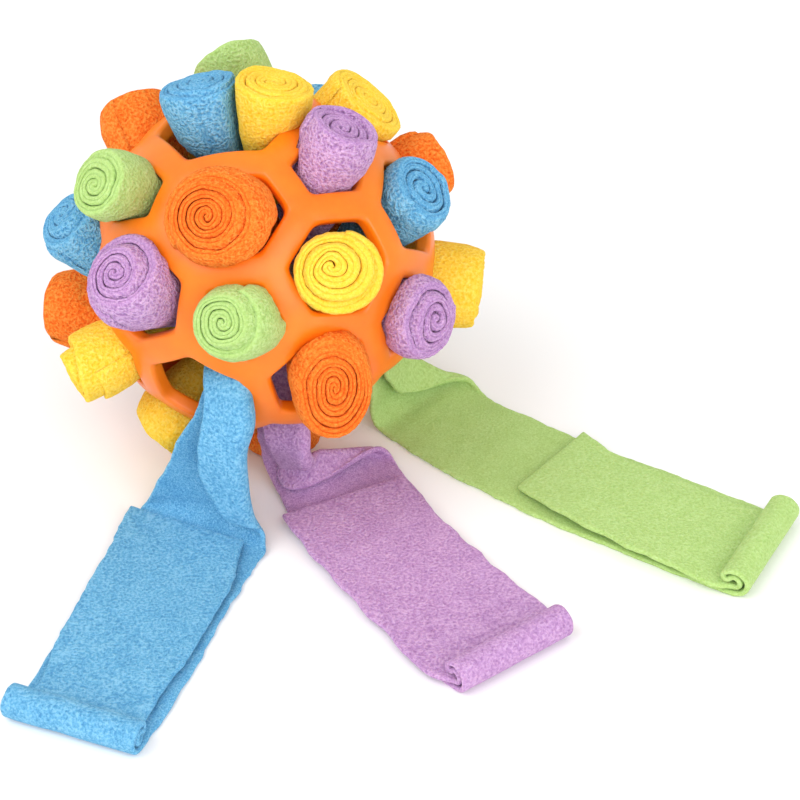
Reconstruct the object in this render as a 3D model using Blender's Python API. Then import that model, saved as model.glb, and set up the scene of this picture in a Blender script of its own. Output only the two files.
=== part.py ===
"""A rubber lattice ball with rolled fleece strips pushed into its holes.

The ball is a hollow shell of soft rubber. Its 12 pentagon and 20 hexagon holes
follow the pattern of a football. A strip of fleece leads from a sewn knot at the
ball's centre to each hole. It is doubled and wound up, and the roll is pushed
into the hole with its spiral end outwards. One hexagon is stretched by two rolls.
Three strips are unrolled and lie on the floor, doubled back at their far ends.

Metres, +Z up, the ball's front towards -Y. The floor is at Z = 0, and the
origin is under the middle of everything that lies on it.
"""
import math

import bpy
import numpy as np
from mathutils import Euler, Vector

# Rubber ball
BALL_RADIUS = 0.059
WALL = 0.0055
RIB_WIDTH = 0.0096
CROWN_WIDTH = 0.0062
CHAMFER_DEPTH = 0.0019
CROWN_DROP = 0.0003
INNER_DROP = 0.0007
SIDE_STEPS = 4
CORNER_SHARE = 0.34
CROWN_CORNER_SHARE = 0.10
STRETCH_SHARE = 0.50
STRETCH_SPREAD_DEG = 34
STRETCHED_HOLE = (5, 6, 10)
BALL_TURN_DEG = (137, -25, 169)
STAND_SHARE = 1.25

# Fleece: the cloth, the wound rolls and the knot that holds the strips' inner ends
CLEARANCE = 0.0003
FLEECE = 0.0018
STRIP_WIDTH = 0.046
ROOT_REACH = 0.036
WIND_GAP = 0.0006
HOLE_GAP = 0.0004
ROOT_TAPER_SHARE = 0.92
STEPS_PER_TURN = 8
WRAP_STEP = 0.0016
TAIL_STEPS = 3
TAIL_WIDTH = 0.0052
TAIL_THICKNESS = 0.0016
KNOT_RADIUS = 0.0140
KNOT_ROWS = 8
KNOT_COLUMNS = 14

# The strips that lie on the floor
LAYER_GAP = 0.0008
CURL_RADIUS = 0.0050
CURL_SWEEP_DEG = 230
CURL_STEPS = 7
BEND_STEPS = 3
BEND_SPREAD_SHARE = 0.80
AIR_STEPS = 15
GATHER_SHARE = 0.20
HOLE_WIDTH_SHARE = 0.66

# How finely lines are sampled where gaps are measured and curves are drawn
LINE_SAMPLES = 8

RUBBER_ROUGHNESS = 0.42
FLEECE_ROUGHNESS = 0.95
SHARP_DEG = 38
DISPLAY_GAMMA = 2.2
DISPLAY_WHITE = 255

COLOURS = {
    "rubber": (243, 126, 42),
    "orange": (245, 104, 36),
    "yellow": (250, 212, 66),
    "blue": (84, 164, 214),
    "violet": (178, 134, 200),
    "green": (166, 214, 112),
    "knot": (214, 200, 186),
}

# One row for each roll: colour, hole, reach of its end from the ball's centre as a
# share of the ball's radius, end radius as a share of the room in the hole, lean of
# the end to its right and upwards in degrees, the share of that lean where the roll
# passes the hole, how far the outer wraps lie back, as a share, and the place round
# the roll where the winding starts, in degrees.
ROLL_SHARES = (
    ("orange", (0, 5, 6), 1.23, 1.35, -1, -7, 0.1, 1.0, 40),
    ("yellow", (0, 2, 6), 1.21, 1.15, -6, 1, 0.25, 0.8, 200),
    ("green", (0,), 1.22, 1.12, -3, 3, 0.06, 1.0, 120),
    ("violet", (0, 5, 7), 1.2, 1.05, -1, 6, 0.25, -0.5, 300),
    ("orange", (0, 1, 2), 1.18, 0.97, 1, 4, 0.25, 0.6, 80),
    ("green", (5,), 1.21, 1.36, 2, -5, 0.08, 0.8, 220),
    ("violet", (6,), 1.24, 1.4, 1, -2, 0.25, -0.8, 340),
    ("violet", (2,), 1.17, 1.17, -1, 3, 0.25, 1.2, 160),
    ("blue", (2, 4, 6), 1.16, 1.05, -1, 4, 0.25, -0.6, 20),
    ("blue", (5, 6, 10), 1.2, 0.57, 5, -6, 0.93, 0.6, 200),
    ("yellow", (5, 6, 10), 1.2, 0.57, -5, 15, 0.93, 0.8, 160),
    ("yellow", (4, 6, 10), 1.18, 1.17, -5, -4, 0.25, -0.6, 190),
    ("orange", (4,), 1.24, 1.22, -1, -2, 0.25, 1.0, 310),
    ("yellow", (2, 4, 8), 1.27, 0.99, -1, -1, 0.25, 0.8, 60),
    ("blue", (5, 7, 11), 1.21, 0.97, -4, 6, 0.25, 1.4, 140),
    ("yellow", (7,), 1.27, 1.17, -1, 0, 0.25, 1.0, 270),
    ("orange", (3, 7, 11), 1.28, 0.97, -2, 5, 0.25, 0.8, 0),
    ("yellow", (1, 3, 7), 1.21, 0.97, -3, 2, 0.25, 0.8, 90),
    ("orange", (5, 10, 11), 1.22, 1.17, 1, -1, 0.25, 0.8, 180),
    ("green", (10,), 1.25, 1.28, 2, 0, 0.0, 0.8, 45),
    ("orange", (1, 3, 8), 1.266, 0.99, 0, -4, 0.45, 0.0, 230),
    ("yellow", (3, 8, 9), 1.22, 0.99, 2, 1, 0.25, 0.8, 10),
    ("green", (4, 8, 9), 1.24, 0.99, -2, 2, 0.25, 0.8, 130),
    ("green", (3, 9, 11), 1.23, 0.99, 1, -3, 0.25, 0.8, 260),
    ("blue", (4, 9, 10), 1.22, 1.07, 2, 3, 0.25, 0.8, 70),
    ("yellow", (9, 10, 11), 1.24, 1.07, -3, -1, 0.25, 0.8, 330),
    ("blue", (3,), 1.2, 1.17, 1, 1, 0.25, 0.8, 150),
    ("violet", (9,), 1.23, 1.17, -2, 1, 0.25, 0.8, 290),
    ("violet", (11,), 1.22, 1.22, 1, 2, 0.25, 0.8, 110),
)

# One entry for each strip on the floor: colour, hole, the places that its middle
# line passes in the air and where it lands, the heading of its run on the floor in
# degrees, and the lengths of that run and of the layer that comes back. Places and
# lengths are shares of the ball's radius, right, back and up from the floor.
STRIP_SHARES = (
    ("blue", (0, 1, 7), ((-0.24, -0.90, 0.97), (-0.20, -1.08, 0.84), (-0.19, -1.12, 0.56), (-0.26, -1.08, 0.22)),
     (-0.41, -1.15), -109, 1.45, 1.26),
    ("violet", (1,), ((0.12, -0.66, 0.49), (0.20, -0.73, 0.30), (0.36, -0.75, 0.12)),
     (0.62, -0.80), -60, 1.44, 1.18),
    ("green", (8,), ((0.67, 0.24, 0.54), (0.85, 0.26, 0.30), (1.02, 0.24, 0.12)),
     (1.22, 0.15), -37, 2.08, 1.48),
)


def unit(vector):
    """Return the vector divided by its length."""
    return vector / np.linalg.norm(vector)


def blend(start, end, share):
    """Return the value that lies the given share of the way from start to end."""
    return start + (end - start) * share


def ease(share):
    """Return 3 s squared minus 2 s cubed, which leaves and arrives without a kink."""
    share = min(max(share, 0), 1)
    return share * share * (3 - 2 * share)


def icosahedron():
    """Return the 12 corner directions, from three rectangles of golden proportion."""
    golden = (1 + math.sqrt(5)) / 2
    corners = []
    for short in (-1, 1):
        for long in (-golden, golden):
            corners.append((0, short, long))
            corners.append((short, long, 0))
            corners.append((long, 0, short))
    turn = Euler([math.radians(angle) for angle in BALL_TURN_DEG]).to_matrix()
    return [unit(np.array(turn @ Vector(corner))) for corner in corners]


CORNERS = icosahedron()


def neighbours(corner):
    """Return the five corners that share an edge with this one."""
    return [index for index, other in enumerate(CORNERS) if index != corner and other @ CORNERS[corner] > 0]


def hole_middle(hole):
    """Return the direction of a hole: one corner for a pentagon, three for a hexagon."""
    return unit(sum(CORNERS[index] for index in hole))


def stretched(direction):
    """Push a direction away from the hole with two rolls.

    The angle to that hole grows by a share that falls off as exp(-(angle / spread)^2).
    """
    middle = hole_middle(STRETCHED_HOLE)
    angle = math.acos(min(max(float(direction @ middle), -1), 1))
    away = unit(direction - middle * float(direction @ middle))
    spread = math.radians(STRETCH_SPREAD_DEG)
    wider = angle * (1 + STRETCH_SHARE * math.exp(-((angle / spread) ** 2)))
    return middle * math.cos(wider) + away * math.sin(wider)


def holes():
    """Return every hole as a tuple of corners, pentagons first."""
    pentagons = [(index,) for index in range(len(CORNERS))]
    hexagons = []
    for first in range(len(CORNERS)):
        for second in neighbours(first):
            for third in neighbours(second):
                if first < second < third and third in neighbours(first):
                    hexagons.append((first, second, third))
    return pentagons + hexagons


def junctions(hole):
    """Return the lattice junctions round a hole, in order, as pairs of corners.

    The junction (a, b) lies a third of the way from corner a to corner b.
    """
    if len(hole) == 1:
        pairs = [(hole[0], other) for other in neighbours(hole[0])]
    else:
        pairs = [(a, b) for a in hole for b in hole if a != b]
    middle = hole_middle(hole)
    side = unit(np.cross(middle, CORNERS[neighbours(hole[0])[0]]))
    front = np.cross(side, middle)
    places = {pair: junction_direction(pair) for pair in pairs}
    return sorted(pairs, key=lambda pair: math.atan2(places[pair] @ side, places[pair] @ front))


def junction_direction(pair):
    """Return the direction of the junction that lies a third of the way along an edge."""
    return unit(CORNERS[pair[0]] * 2 + CORNERS[pair[1]])


def hole_outline(hole):
    """Return keys and directions of the points round a hole, on the ribs' middle lines."""
    ring = junctions(hole)
    keys = []
    places = []
    for index, start in enumerate(ring):
        end = ring[(index + 1) % len(ring)]
        for step in range(SIDE_STEPS):
            share = step / SIDE_STEPS
            place = blend(junction_direction(start), junction_direction(end), share)
            keys.append(edge_key(start, end, step))
            places.append(stretched(unit(place)))
    return keys, places


def edge_key(start, end, step):
    """Name a point on the rib between two junctions alike from both of its sides."""
    if step == 0:
        return (start,)
    if start < end:
        return (start, end, step)
    return (end, start, SIDE_STEPS - step)


def drawn_in(places, inset, corner_share, radius):
    """Draw an outline in towards its middle by a width, with its corners pulled in."""
    middle = unit(sum(places))
    flat = [place / float(place @ middle) - middle for place in places]
    reach = [float(np.linalg.norm(offset)) for offset in flat]
    inner = min(reach)
    mean_inner = sum(sorted(reach)[:len(reach) // SIDE_STEPS]) / (len(reach) // SIDE_STEPS)
    share = 1 - inset / (BALL_RADIUS * math.atan(mean_inner))
    ring = []
    for offset, length in zip(flat, reach):
        rounded = blend(length, max(inner, mean_inner), corner_share) if length > mean_inner else length
        ring.append(unit(middle + offset / length * rounded * share) * radius)
    return ring


def new_object(name, points, faces, colour, roughness):
    """Make one named object with its own material from points and faces."""
    mesh = bpy.data.meshes.new(name)
    mesh.from_pydata([tuple(point) for point in points], [], faces)
    mesh.update()
    mesh.shade_smooth()
    mesh.set_sharp_from_angle(angle=math.radians(SHARP_DEG))
    material = bpy.data.materials.new(name)
    material.use_nodes = True
    shader = material.node_tree.nodes["Principled BSDF"]
    shader.inputs["Base Color"].default_value = linear_colour(COLOURS[colour])
    shader.inputs["Roughness"].default_value = roughness
    shader.inputs["Metallic"].default_value = 0
    mesh.materials.append(material)
    made = bpy.data.objects.new(name, mesh)
    bpy.context.collection.objects.link(made)
    return made


def linear_colour(levels):
    """Turn three display levels of 0 to 255 into linear light, with full alpha."""
    return tuple((level / DISPLAY_WHITE) ** DISPLAY_GAMMA for level in levels) + (1,)


def rubber_ball():
    """Build the lattice shell hole by hole.

    Each hole has four rings: the crown's edge, the chamfer's foot, the hole's inner
    edge, and the ribs' middle lines outside and inside, shared with its neighbours.
    """
    points = []
    shared = {}
    faces = []

    def shared_point(key, place):
        if key not in shared:
            shared[key] = len(points)
            points.append(place)
        return shared[key]

    inner_radius = BALL_RADIUS - WALL
    for hole in holes():
        keys, places = hole_outline(hole)
        outer = [shared_point(("out",) + key, place * BALL_RADIUS) for key, place in zip(keys, places)]
        inner = [shared_point(("in",) + key, place * inner_radius) for key, place in zip(keys, places)]
        rings = [outer]
        for inset, corner_share, radius in (
            (CROWN_WIDTH / 2, CROWN_CORNER_SHARE, BALL_RADIUS - CROWN_DROP),
            (RIB_WIDTH / 2, CORNER_SHARE, BALL_RADIUS - CHAMFER_DEPTH),
            (RIB_WIDTH / 2, CORNER_SHARE, inner_radius + INNER_DROP),
        ):
            rings.append(list(range(len(points), len(points) + len(places))))
            points.extend(drawn_in(places, inset, corner_share, radius))
        rings.append(inner)
        for upper, lower in zip(rings, rings[1:]):
            for index in range(len(upper)):
                after = (index + 1) % len(upper)
                faces.append((upper[index], lower[index], lower[after], upper[after]))
    return new_object("rubber_ball", lifted(points), outward(points, faces), "rubber", RUBBER_ROUGHNESS)


def outward(points, faces):
    """Turn all faces round if the closed surface has a negative volume."""
    volume = 0
    for face in faces:
        for second, third in zip(face[1:], face[2:]):
            volume += float(np.dot(points[face[0]], np.cross(points[second], points[third])))
    if volume < 0:
        return [tuple(reversed(face)) for face in faces]
    return faces


def lifted(points):
    """Move points from the ball's middle to its height above the floor."""
    return [np.array(point) + np.array((0, 0, BALL_RADIUS * STAND_SHARE)) for point in points]


def leaned(hole, right_deg, up_deg):
    """Return a hole's direction, leaned to its right and upwards by small angles."""
    middle = hole_middle(hole)
    right = unit(np.cross((0, 0, 1), middle))
    up = np.cross(middle, right)
    sideways = math.tan(math.radians(right_deg))
    upwards = math.tan(math.radians(up_deg))
    return unit(middle + right * sideways + up * upwards)


def sampled(line):
    """Return points along a line of corners, several to each of its runs."""
    corners = np.array(line)
    shares = np.arange(LINE_SAMPLES)[:, None, None] / LINE_SAMPLES
    between = corners[:-1] + shares * (corners[1:] - corners[:-1])
    return np.concatenate([between.reshape(-1, corners.shape[1]), corners[-1:]])


def least_distance(first_line, second_line):
    """Measure the least distance between two lines, on points along both."""
    apart = sampled(first_line)[:, None] - sampled(second_line)[None]
    return float(np.sqrt((apart ** 2).sum(axis=2).min()))


class Roll:
    """The middle line and the radii of one wound strip in its hole."""

    def __init__(self, row):
        """Lead the middle line from the root past the ribs to the roll's end."""
        self.colour, self.hole, reach, end_share, right, up, rim_share, self.wrap, self.start_deg = row
        end_heading = leaned(self.hole, right, up)
        outline = hole_outline(self.hole)[1]
        middle = unit(sum(outline))
        rim_heading = unit(blend(middle, end_heading, rim_share))
        rim_radius = BALL_RADIUS - WALL / 2
        self.rim = rim_heading * rim_radius
        self.end = end_heading * BALL_RADIUS * reach
        self.axis = unit(self.end - self.rim)
        self.side = unit(np.cross((0, 0, 1), self.axis))
        self.across = np.cross(self.axis, self.side)
        self.root = self.rim - self.axis * (rim_radius - ROOT_REACH)
        self.ribs = []
        for radius in (BALL_RADIUS - WALL, BALL_RADIUS - CHAMFER_DEPTH):
            ring = drawn_in(outline, RIB_WIDTH / 2, CORNER_SHARE, radius)
            self.ribs += list(sampled(ring + ring[:1]))
        room = min(float(np.linalg.norm(point - middle * float(point @ middle))) for point in self.ribs)
        self.end_radius = end_share * room
        self.turns = self.end_radius / (FLEECE * 2) - 1
        self.rim_radius = min(self.allowed_by(point) for point in self.ribs)

    def allowed_by(self, point):
        """Return the widest radius at the rim that clears a point on the ribs.

        The radius at a share s from rim to end is rim + (end - rim) s, so a distance d
        at s allows (d - end s) / (1 - s) at the rim. The winding is narrower by up to
        one pitch the further back from its outer end the point lies.
        """
        offset = point - self.rim
        along = float(offset @ self.axis)
        away = float(np.linalg.norm(offset - self.axis * along))
        turn = math.atan2(offset @ self.across, offset @ self.side)
        turns_back = (math.radians(self.start_deg) + math.tau * self.turns - turn) / math.tau % 1
        share = max(along / float(np.linalg.norm(self.end - self.rim)), 0)
        wide = (away - HOLE_GAP) / (1 - turns_back / (self.turns + 1))
        return (wide - self.end_radius * share) / (1 - share)

    def part_of(self, other, own_place, other_place):
        """Return this roll's part of the way between two places, shared out by end radius."""
        room = float(np.linalg.norm(own_place - other_place)) - HOLE_GAP
        return room * self.end_radius / (self.end_radius + other.end_radius)

    def share_room(self, rolls):
        """Narrow the rim beside a roll in the same hole, and the root beside all others."""
        others = [other for other in rolls if other is not self]
        beside = [self.part_of(other, self.rim, other.rim) for other in others if other.hole == self.hole]
        self.rim_radius = min([self.rim_radius] + beside)
        around = [self.part_of(other, self.root, other.root) for other in others]
        self.root_radius = min([self.rim_radius * ROOT_TAPER_SHARE] + around)


def winding(outer_radius, turns, start_deg):
    """Return the inner and outer side of a wound band, seen along the roll's axis.

    The band's middle line is a spiral whose radius grows by one pitch each turn. The
    pitch is the outer radius over turns + 1, and the band is a gap thinner than that.
    """
    steps = round(turns * STEPS_PER_TURN)
    pitch = outer_radius / (turns + 1)
    thickness = pitch - WIND_GAP
    inner = []
    outer = []
    for step in range(steps + 1):
        angle = math.radians(start_deg) + math.tau * step / STEPS_PER_TURN
        middle = outer_radius - thickness / 2 - pitch * (steps - step) / STEPS_PER_TURN
        heading = np.array((math.cos(angle), math.sin(angle)))
        inner.append(heading * (middle - thickness / 2))
        outer.append(heading * (middle + thickness / 2))
    return inner, outer


def fleece_roll(name, roll):
    """Build one wound strip, from its tail on the knot to its spiral end.

    The strip is doubled, so it makes as many turns as its doubled thickness allows.
    """
    root, rim, end = [winding(radius, roll.turns, roll.start_deg)
                      for radius in (roll.root_radius, roll.rim_radius, roll.end_radius)]
    steps = len(end[0]) - 1
    bands = []
    for step in range(steps + 1):
        lie_back = WRAP_STEP * roll.wrap * (step / steps) ** 2
        corners = []
        for section, middle, drop in ((root, roll.root, 0), (rim, roll.rim, 0), (end, roll.end, lie_back)):
            for flat in (section[0][step], section[1][step]):
                corners.append(middle + roll.side * flat[0] + roll.across * flat[1] - roll.axis * drop)
        corners[4] = kept_above_floor(corners[2], corners[4])
        corners[5] = kept_above_floor(corners[3], corners[5])
        bands.append(corners)
    points = [corner for corners in bands for corner in corners]
    size = len(bands[0])
    faces = [(0, 1, 3, 2), (2, 3, 5, 4)]
    tail_start = steps - TAIL_STEPS
    for step in range(steps):
        here = size * step
        over = here + size
        faces.append((here + 4, here + 5, over + 5, over + 4))
        for level in (0, 2):
            low, high = here + level, over + level
            faces.append((low + 3, low + 1, high + 1, high + 3))
            faces.append((low, low + 2, high + 2, high))
        if step < tail_start:
            faces.append((here + 1, here, over, over + 1))
    last = size * steps
    faces.append((last + 1, last, last + 2, last + 3))
    faces.append((last + 3, last + 2, last + 4, last + 5))
    add_tail(points, faces, bands, tail_start, unit(roll.root))
    gap = min(least_distance(*section) for section in (root, rim, end))
    made = new_object(name, lifted(points), outward(points, faces), roll.colour, FLEECE_ROUGHNESS)
    return made, gap


def kept_above_floor(root_corner, end_corner):
    """Cut an edge of the roll off at the floor, along its own line."""
    floor = -BALL_RADIUS * STAND_SHARE
    if end_corner[2] >= floor:
        return end_corner
    share = (floor - root_corner[2]) / (end_corner[2] - root_corner[2])
    return blend(root_corner, end_corner, share)


def add_tail(points, faces, bands, tail_start, heading):
    """Lead the root of the outermost wrap to the knot as a narrow gathered band."""
    root_line = [blend(corners[0], corners[1], 0.5) for corners in bands[tail_start:]]
    along = unit(root_line[-1] - root_line[0])
    along = unit(along - heading * float(along @ heading))
    over = np.cross(heading, along)
    outer_side = bands[tail_start][1] - bands[tail_start][0]
    if float(over @ outer_side) < 0:
        over = -over
    foot = heading * (KNOT_RADIUS + CLEARANCE)
    base = len(points)
    for step in range(TAIL_STEPS + 1):
        place = foot + along * (TAIL_WIDTH * step / TAIL_STEPS - TAIL_WIDTH / 2)
        points.append(place - over * TAIL_THICKNESS / 2)
        points.append(place + over * TAIL_THICKNESS / 2)
    size = len(bands[0])
    for step in range(TAIL_STEPS):
        upper = size * (tail_start + step)
        lower = base + 2 * step
        faces.append((upper + 1, lower + 1, lower + 3, upper + size + 1))
        faces.append((upper, upper + size, lower + 2, lower))
        faces.append((lower + 1, lower, lower + 2, lower + 3))
    first = size * tail_start
    last = size * (tail_start + TAIL_STEPS)
    end = base + 2 * TAIL_STEPS
    faces.append((first + 1, first, base, base + 1))
    faces.append((last, last + 1, end + 1, end))


def smooth_route(places, steps):
    """Return points on a smooth curve through the places, with equal steps between them."""
    places = [np.array(place, float) for place in places]
    padded = [2 * places[0] - places[1]] + places + [2 * places[-1] - places[-2]]
    dense = []
    for before, start, end, after in zip(padded, padded[1:], padded[2:], padded[3:]):
        for share in np.linspace(0, 1, LINE_SAMPLES, endpoint=False):
            bend = 2 * start + (end - before) * share
            bend += (2 * before - 5 * start + 4 * end - after) * share ** 2
            bend += (3 * start - before - 3 * end + after) * share ** 3
            dense.append(bend / 2)
    dense.append(places[-1])
    for place in dense:
        place[2] = max(place[2], FLEECE / 2)
    lengths = [0]
    for start, end in zip(dense, dense[1:]):
        lengths.append(lengths[-1] + float(np.linalg.norm(end - start)))
    wanted = np.linspace(0, lengths[-1], steps + 1)
    columns = [np.interp(wanted, lengths, [point[axis] for point in dense]) for axis in range(3)]
    return list(np.stack(columns, axis=1))


def strip_section(open_share, width_share):
    """Return a cross-section's middle line, from its left edge to its right one.

    The right half lies over the left half where the share is 0, round a tight fold.
    As the strip opens, the bend turns through less and spreads over the right half.
    """
    bend = math.pi * (1 - open_share)
    half = STRIP_WIDTH / 2 * width_share
    tight_step = (FLEECE + LAYER_GAP) / 2
    bend_step = blend(tight_step, half * BEND_SPREAD_SHARE / BEND_STEPS, open_share)
    headings = [bend * (step + 1 / 2) / BEND_STEPS for step in range(BEND_STEPS)]
    lengths = [bend_step] * BEND_STEPS
    left = -half + half / 2 * (1 - open_share)
    line = [np.array((left, 0)), np.array((left + half / 2, 0)), np.array((left + half, 0))]
    for heading, length in zip(headings + [bend, bend], lengths + [(half - bend_step * BEND_STEPS) / 2] * 2):
        line.append(line[-1] + length * np.array((math.cos(heading), math.sin(heading))))
    return line


def thickened(line, thickness):
    """Return both sides of an open line, mitred at its bends, as one closed ring."""
    upper = []
    lower = []
    for index, spot in enumerate(line):
        before = line[index] - line[index - 1] if index else line[1] - line[0]
        after = line[index + 1] - line[index] if index + 1 < len(line) else before
        normals = [unit(np.array((-run[1], run[0]))) for run in (before, after)]
        middle = unit(normals[0] + normals[1])
        offset = middle * thickness / 2 / float(middle @ normals[0])
        upper.append(spot + offset)
        lower.append(spot - offset)
    return upper + lower[::-1]


def floor_path(landing, heading, run, back):
    """Return places and forward directions of a strip's run on the floor.

    It runs to its far end, curls up and over, turns back inside its own curl, and
    lies on itself again.
    """
    rise = np.array((0, 0, 1))
    start = np.array((landing[0], landing[1], FLEECE / 2))
    end = start + heading * run
    hub = end + rise * CURL_RADIUS
    sweep = math.radians(CURL_SWEEP_DEG)
    pitch = FLEECE + LAYER_GAP
    inner_radius = CURL_RADIUS - pitch
    path = [(blend(start, end, 0.5), heading)]
    for step in range(CURL_STEPS + 1):
        angle = sweep * step / CURL_STEPS
        place = hub + (heading * math.sin(angle) - rise * math.cos(angle)) * CURL_RADIUS
        path.append((place, heading * math.cos(angle) + rise * math.sin(angle)))
    outward_way = heading * math.sin(sweep) - rise * math.cos(sweep)
    forward = heading * math.cos(sweep) + rise * math.sin(sweep)
    tip = hub + outward_way * (CURL_RADIUS - pitch / 2) + forward * pitch / 2
    path.append((tip, -outward_way))
    for step in range(CURL_STEPS, -1, -1):
        angle = sweep * step / CURL_STEPS
        place = hub + (heading * math.sin(angle) - rise * math.cos(angle)) * inner_radius
        path.append((place, -heading * math.cos(angle) - rise * math.sin(angle)))
    top = end + rise * pitch
    path.append((top - heading * back, -heading))
    return path


def floor_strip(row):
    """Build one unrolled strip, from the knot through its hole and along the floor."""
    colour, hole, air_shares, landing_share, heading_deg, run_share, back_share = row
    heading = np.array((math.cos(math.radians(heading_deg)), math.sin(math.radians(heading_deg)), 0))
    centre = np.array((0, 0, BALL_RADIUS * STAND_SHARE))
    landing = np.array(landing_share + (0,)) * BALL_RADIUS
    landing[2] = FLEECE / 2
    air = [centre + hole_middle(hole) * (KNOT_RADIUS + CLEARANCE)]
    air += [np.array(share) * BALL_RADIUS for share in air_shares]
    air.append(landing)
    air.append(landing + heading * CURL_RADIUS * 2)
    route = smooth_route(air, AIR_STEPS)
    floor_side = np.cross((0, 0, 1), heading)
    path = []
    for index, place in enumerate(route):
        before = route[max(index - 1, 0)]
        after = route[min(index + 1, len(route) - 1)]
        path.append((place, unit(after - before)))
    path += floor_path(route[-1], heading, BALL_RADIUS * run_share - CURL_RADIUS * 2, BALL_RADIUS * back_share)
    points = []
    faces = []
    for index, (place, forward) in enumerate(path):
        share = index / AIR_STEPS
        side = unit(floor_side - forward * float(floor_side @ forward))
        over = np.cross(forward, side)
        width_share = blend(GATHER_SHARE, HOLE_WIDTH_SHARE, ease(share * 2))
        width_share = blend(width_share, 1, ease(share * 2 - 1))
        line = strip_section(ease(share * 2 - 1), width_share)
        ring = thickened(line, FLEECE)
        base = len(points)
        corners = [place + side * spot[0] + over * spot[1] for spot in ring]
        points += [np.array((corner[0], corner[1], max(corner[2], 0))) for corner in corners]
        if index:
            for corner in range(len(ring)):
                after = (corner + 1) % len(ring)
                before = base - len(ring)
                faces.append((before + corner, before + after, base + after, base + corner))
    half = len(line)
    for first, turn in ((0, 1), (len(points) - len(ring), -1)):
        for corner in range(half - 1):
            far = len(ring) - 1 - corner
            quad = (first + corner, first + far, first + far - 1, first + corner + 1)
            faces.append(quad[::turn])
    tip = len(path) - CURL_STEPS - 3
    middle_line = [place for place, _ in path]
    gap = least_distance(middle_line[AIR_STEPS:tip], middle_line[tip + 1:]) - FLEECE
    return new_object("strip_" + colour, points, outward(points, faces), colour, FLEECE_ROUGHNESS), gap


def centre_knot():
    """Build the sewn bundle of the strips' inner ends as a faceted ball."""
    rows = KNOT_ROWS
    columns = KNOT_COLUMNS
    points = [np.array((0, 0, KNOT_RADIUS))]
    for row in range(1, rows):
        tilt = math.pi * row / rows
        for column in range(columns):
            turn = math.tau * column / columns
            heading = np.array((math.cos(turn) * math.sin(tilt), math.sin(turn) * math.sin(tilt), math.cos(tilt)))
            points.append(heading * KNOT_RADIUS)
    points.append(np.array((0, 0, -KNOT_RADIUS)))
    last = len(points) - 1
    faces = []
    for column in range(columns):
        after = (column + 1) % columns
        faces.append((0, 1 + column, 1 + after))
        faces.append((last, last - columns + after, last - columns + column))
        for row in range(rows - 2):
            upper = 1 + row * columns
            lower = upper + columns
            faces.append((upper + column, lower + column, lower + after, upper + after))
    return new_object("centre_knot", lifted(points), outward(points, faces), "knot", FLEECE_ROUGHNESS)


def stand_on_origin(made):
    """Carry all pieces on one empty, so that the origin is under their middle."""
    corners = [vertex.co for piece in made for vertex in piece.data.vertices]
    lows = [min(corner[axis] for corner in corners) for axis in range(3)]
    highs = [max(corner[axis] for corner in corners) for axis in range(3)]
    base = bpy.data.objects.new("base", None)
    bpy.context.collection.objects.link(base)
    base.location = (-(lows[0] + highs[0]) / 2, -(lows[1] + highs[1]) / 2, -lows[2])
    for piece in made:
        piece.parent = base
    bpy.context.view_layer.update()
    sizes = [high - low for low, high in zip(lows, highs)]
    print("size", [round(size, 4) for size in sizes], "moved by", [round(part, 5) for part in base.location])


def main():
    """Clear the scene and build every piece."""
    for old in list(bpy.data.objects):
        bpy.data.objects.remove(old, do_unlink=True)
    made = [rubber_ball(), centre_knot()]
    rolls = [Roll(row) for row in ROLL_SHARES]
    counts = {}
    wound = []
    for roll in rolls:
        roll.share_room(rolls)
        counts[roll.colour] = counts.get(roll.colour, 0) + 1
        wound.append(fleece_roll("roll_{}_{}".format(roll.colour, counts[roll.colour]), roll))
    laid = [floor_strip(row) for row in STRIP_SHARES]
    made += [piece for piece, _ in wound + laid]
    stand_on_origin(made)
    print("least gap inside a winding", round(min(gap for _, gap in wound), 5), "m")
    print("least gap between a strip's layers", round(min(gap for _, gap in laid), 5), "m")
    total = sum(len(polygon.vertices) - 2 for piece in made for polygon in piece.data.polygons)
    print("pieces", len(made), "triangles", total)


main()
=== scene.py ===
# %% [markdown]
# # A rubber lattice ball filled with fleece rolls
# A snuffle ball hides small treats between rolled fleece strips. This lesson builds its
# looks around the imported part: first the view, then the rubber lattice, the rolls of
# fleece in its holes, the three strips that lie unrolled on the floor, and last the
# materials and the light. Every shape is a formula on a grid, worked out with numpy.
# Lengths are in metres, unless a name or a comment says otherwise.

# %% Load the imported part
import math

import bpy
import numpy as np
from mathutils import Euler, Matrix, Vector


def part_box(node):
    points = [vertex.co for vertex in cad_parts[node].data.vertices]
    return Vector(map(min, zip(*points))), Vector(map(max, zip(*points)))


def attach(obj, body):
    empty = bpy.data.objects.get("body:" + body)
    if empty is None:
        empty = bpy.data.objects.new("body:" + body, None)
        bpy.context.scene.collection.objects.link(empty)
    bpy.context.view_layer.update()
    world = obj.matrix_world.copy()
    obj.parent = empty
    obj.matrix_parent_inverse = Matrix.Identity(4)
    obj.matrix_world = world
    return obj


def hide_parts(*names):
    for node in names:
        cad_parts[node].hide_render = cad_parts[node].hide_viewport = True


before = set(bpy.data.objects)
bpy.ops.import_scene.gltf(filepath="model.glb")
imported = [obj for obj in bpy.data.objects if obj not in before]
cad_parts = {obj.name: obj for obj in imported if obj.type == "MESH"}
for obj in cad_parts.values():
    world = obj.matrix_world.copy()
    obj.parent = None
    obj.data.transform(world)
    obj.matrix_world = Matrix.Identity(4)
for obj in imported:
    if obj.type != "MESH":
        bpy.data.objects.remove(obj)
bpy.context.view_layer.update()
MM = 0.001
knot_low, knot_high = [np.array(corner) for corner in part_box("centre_knot")]
CENTRE = (knot_low + knot_high) / 2
print("ball's centre", CENTRE.round(4))

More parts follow.
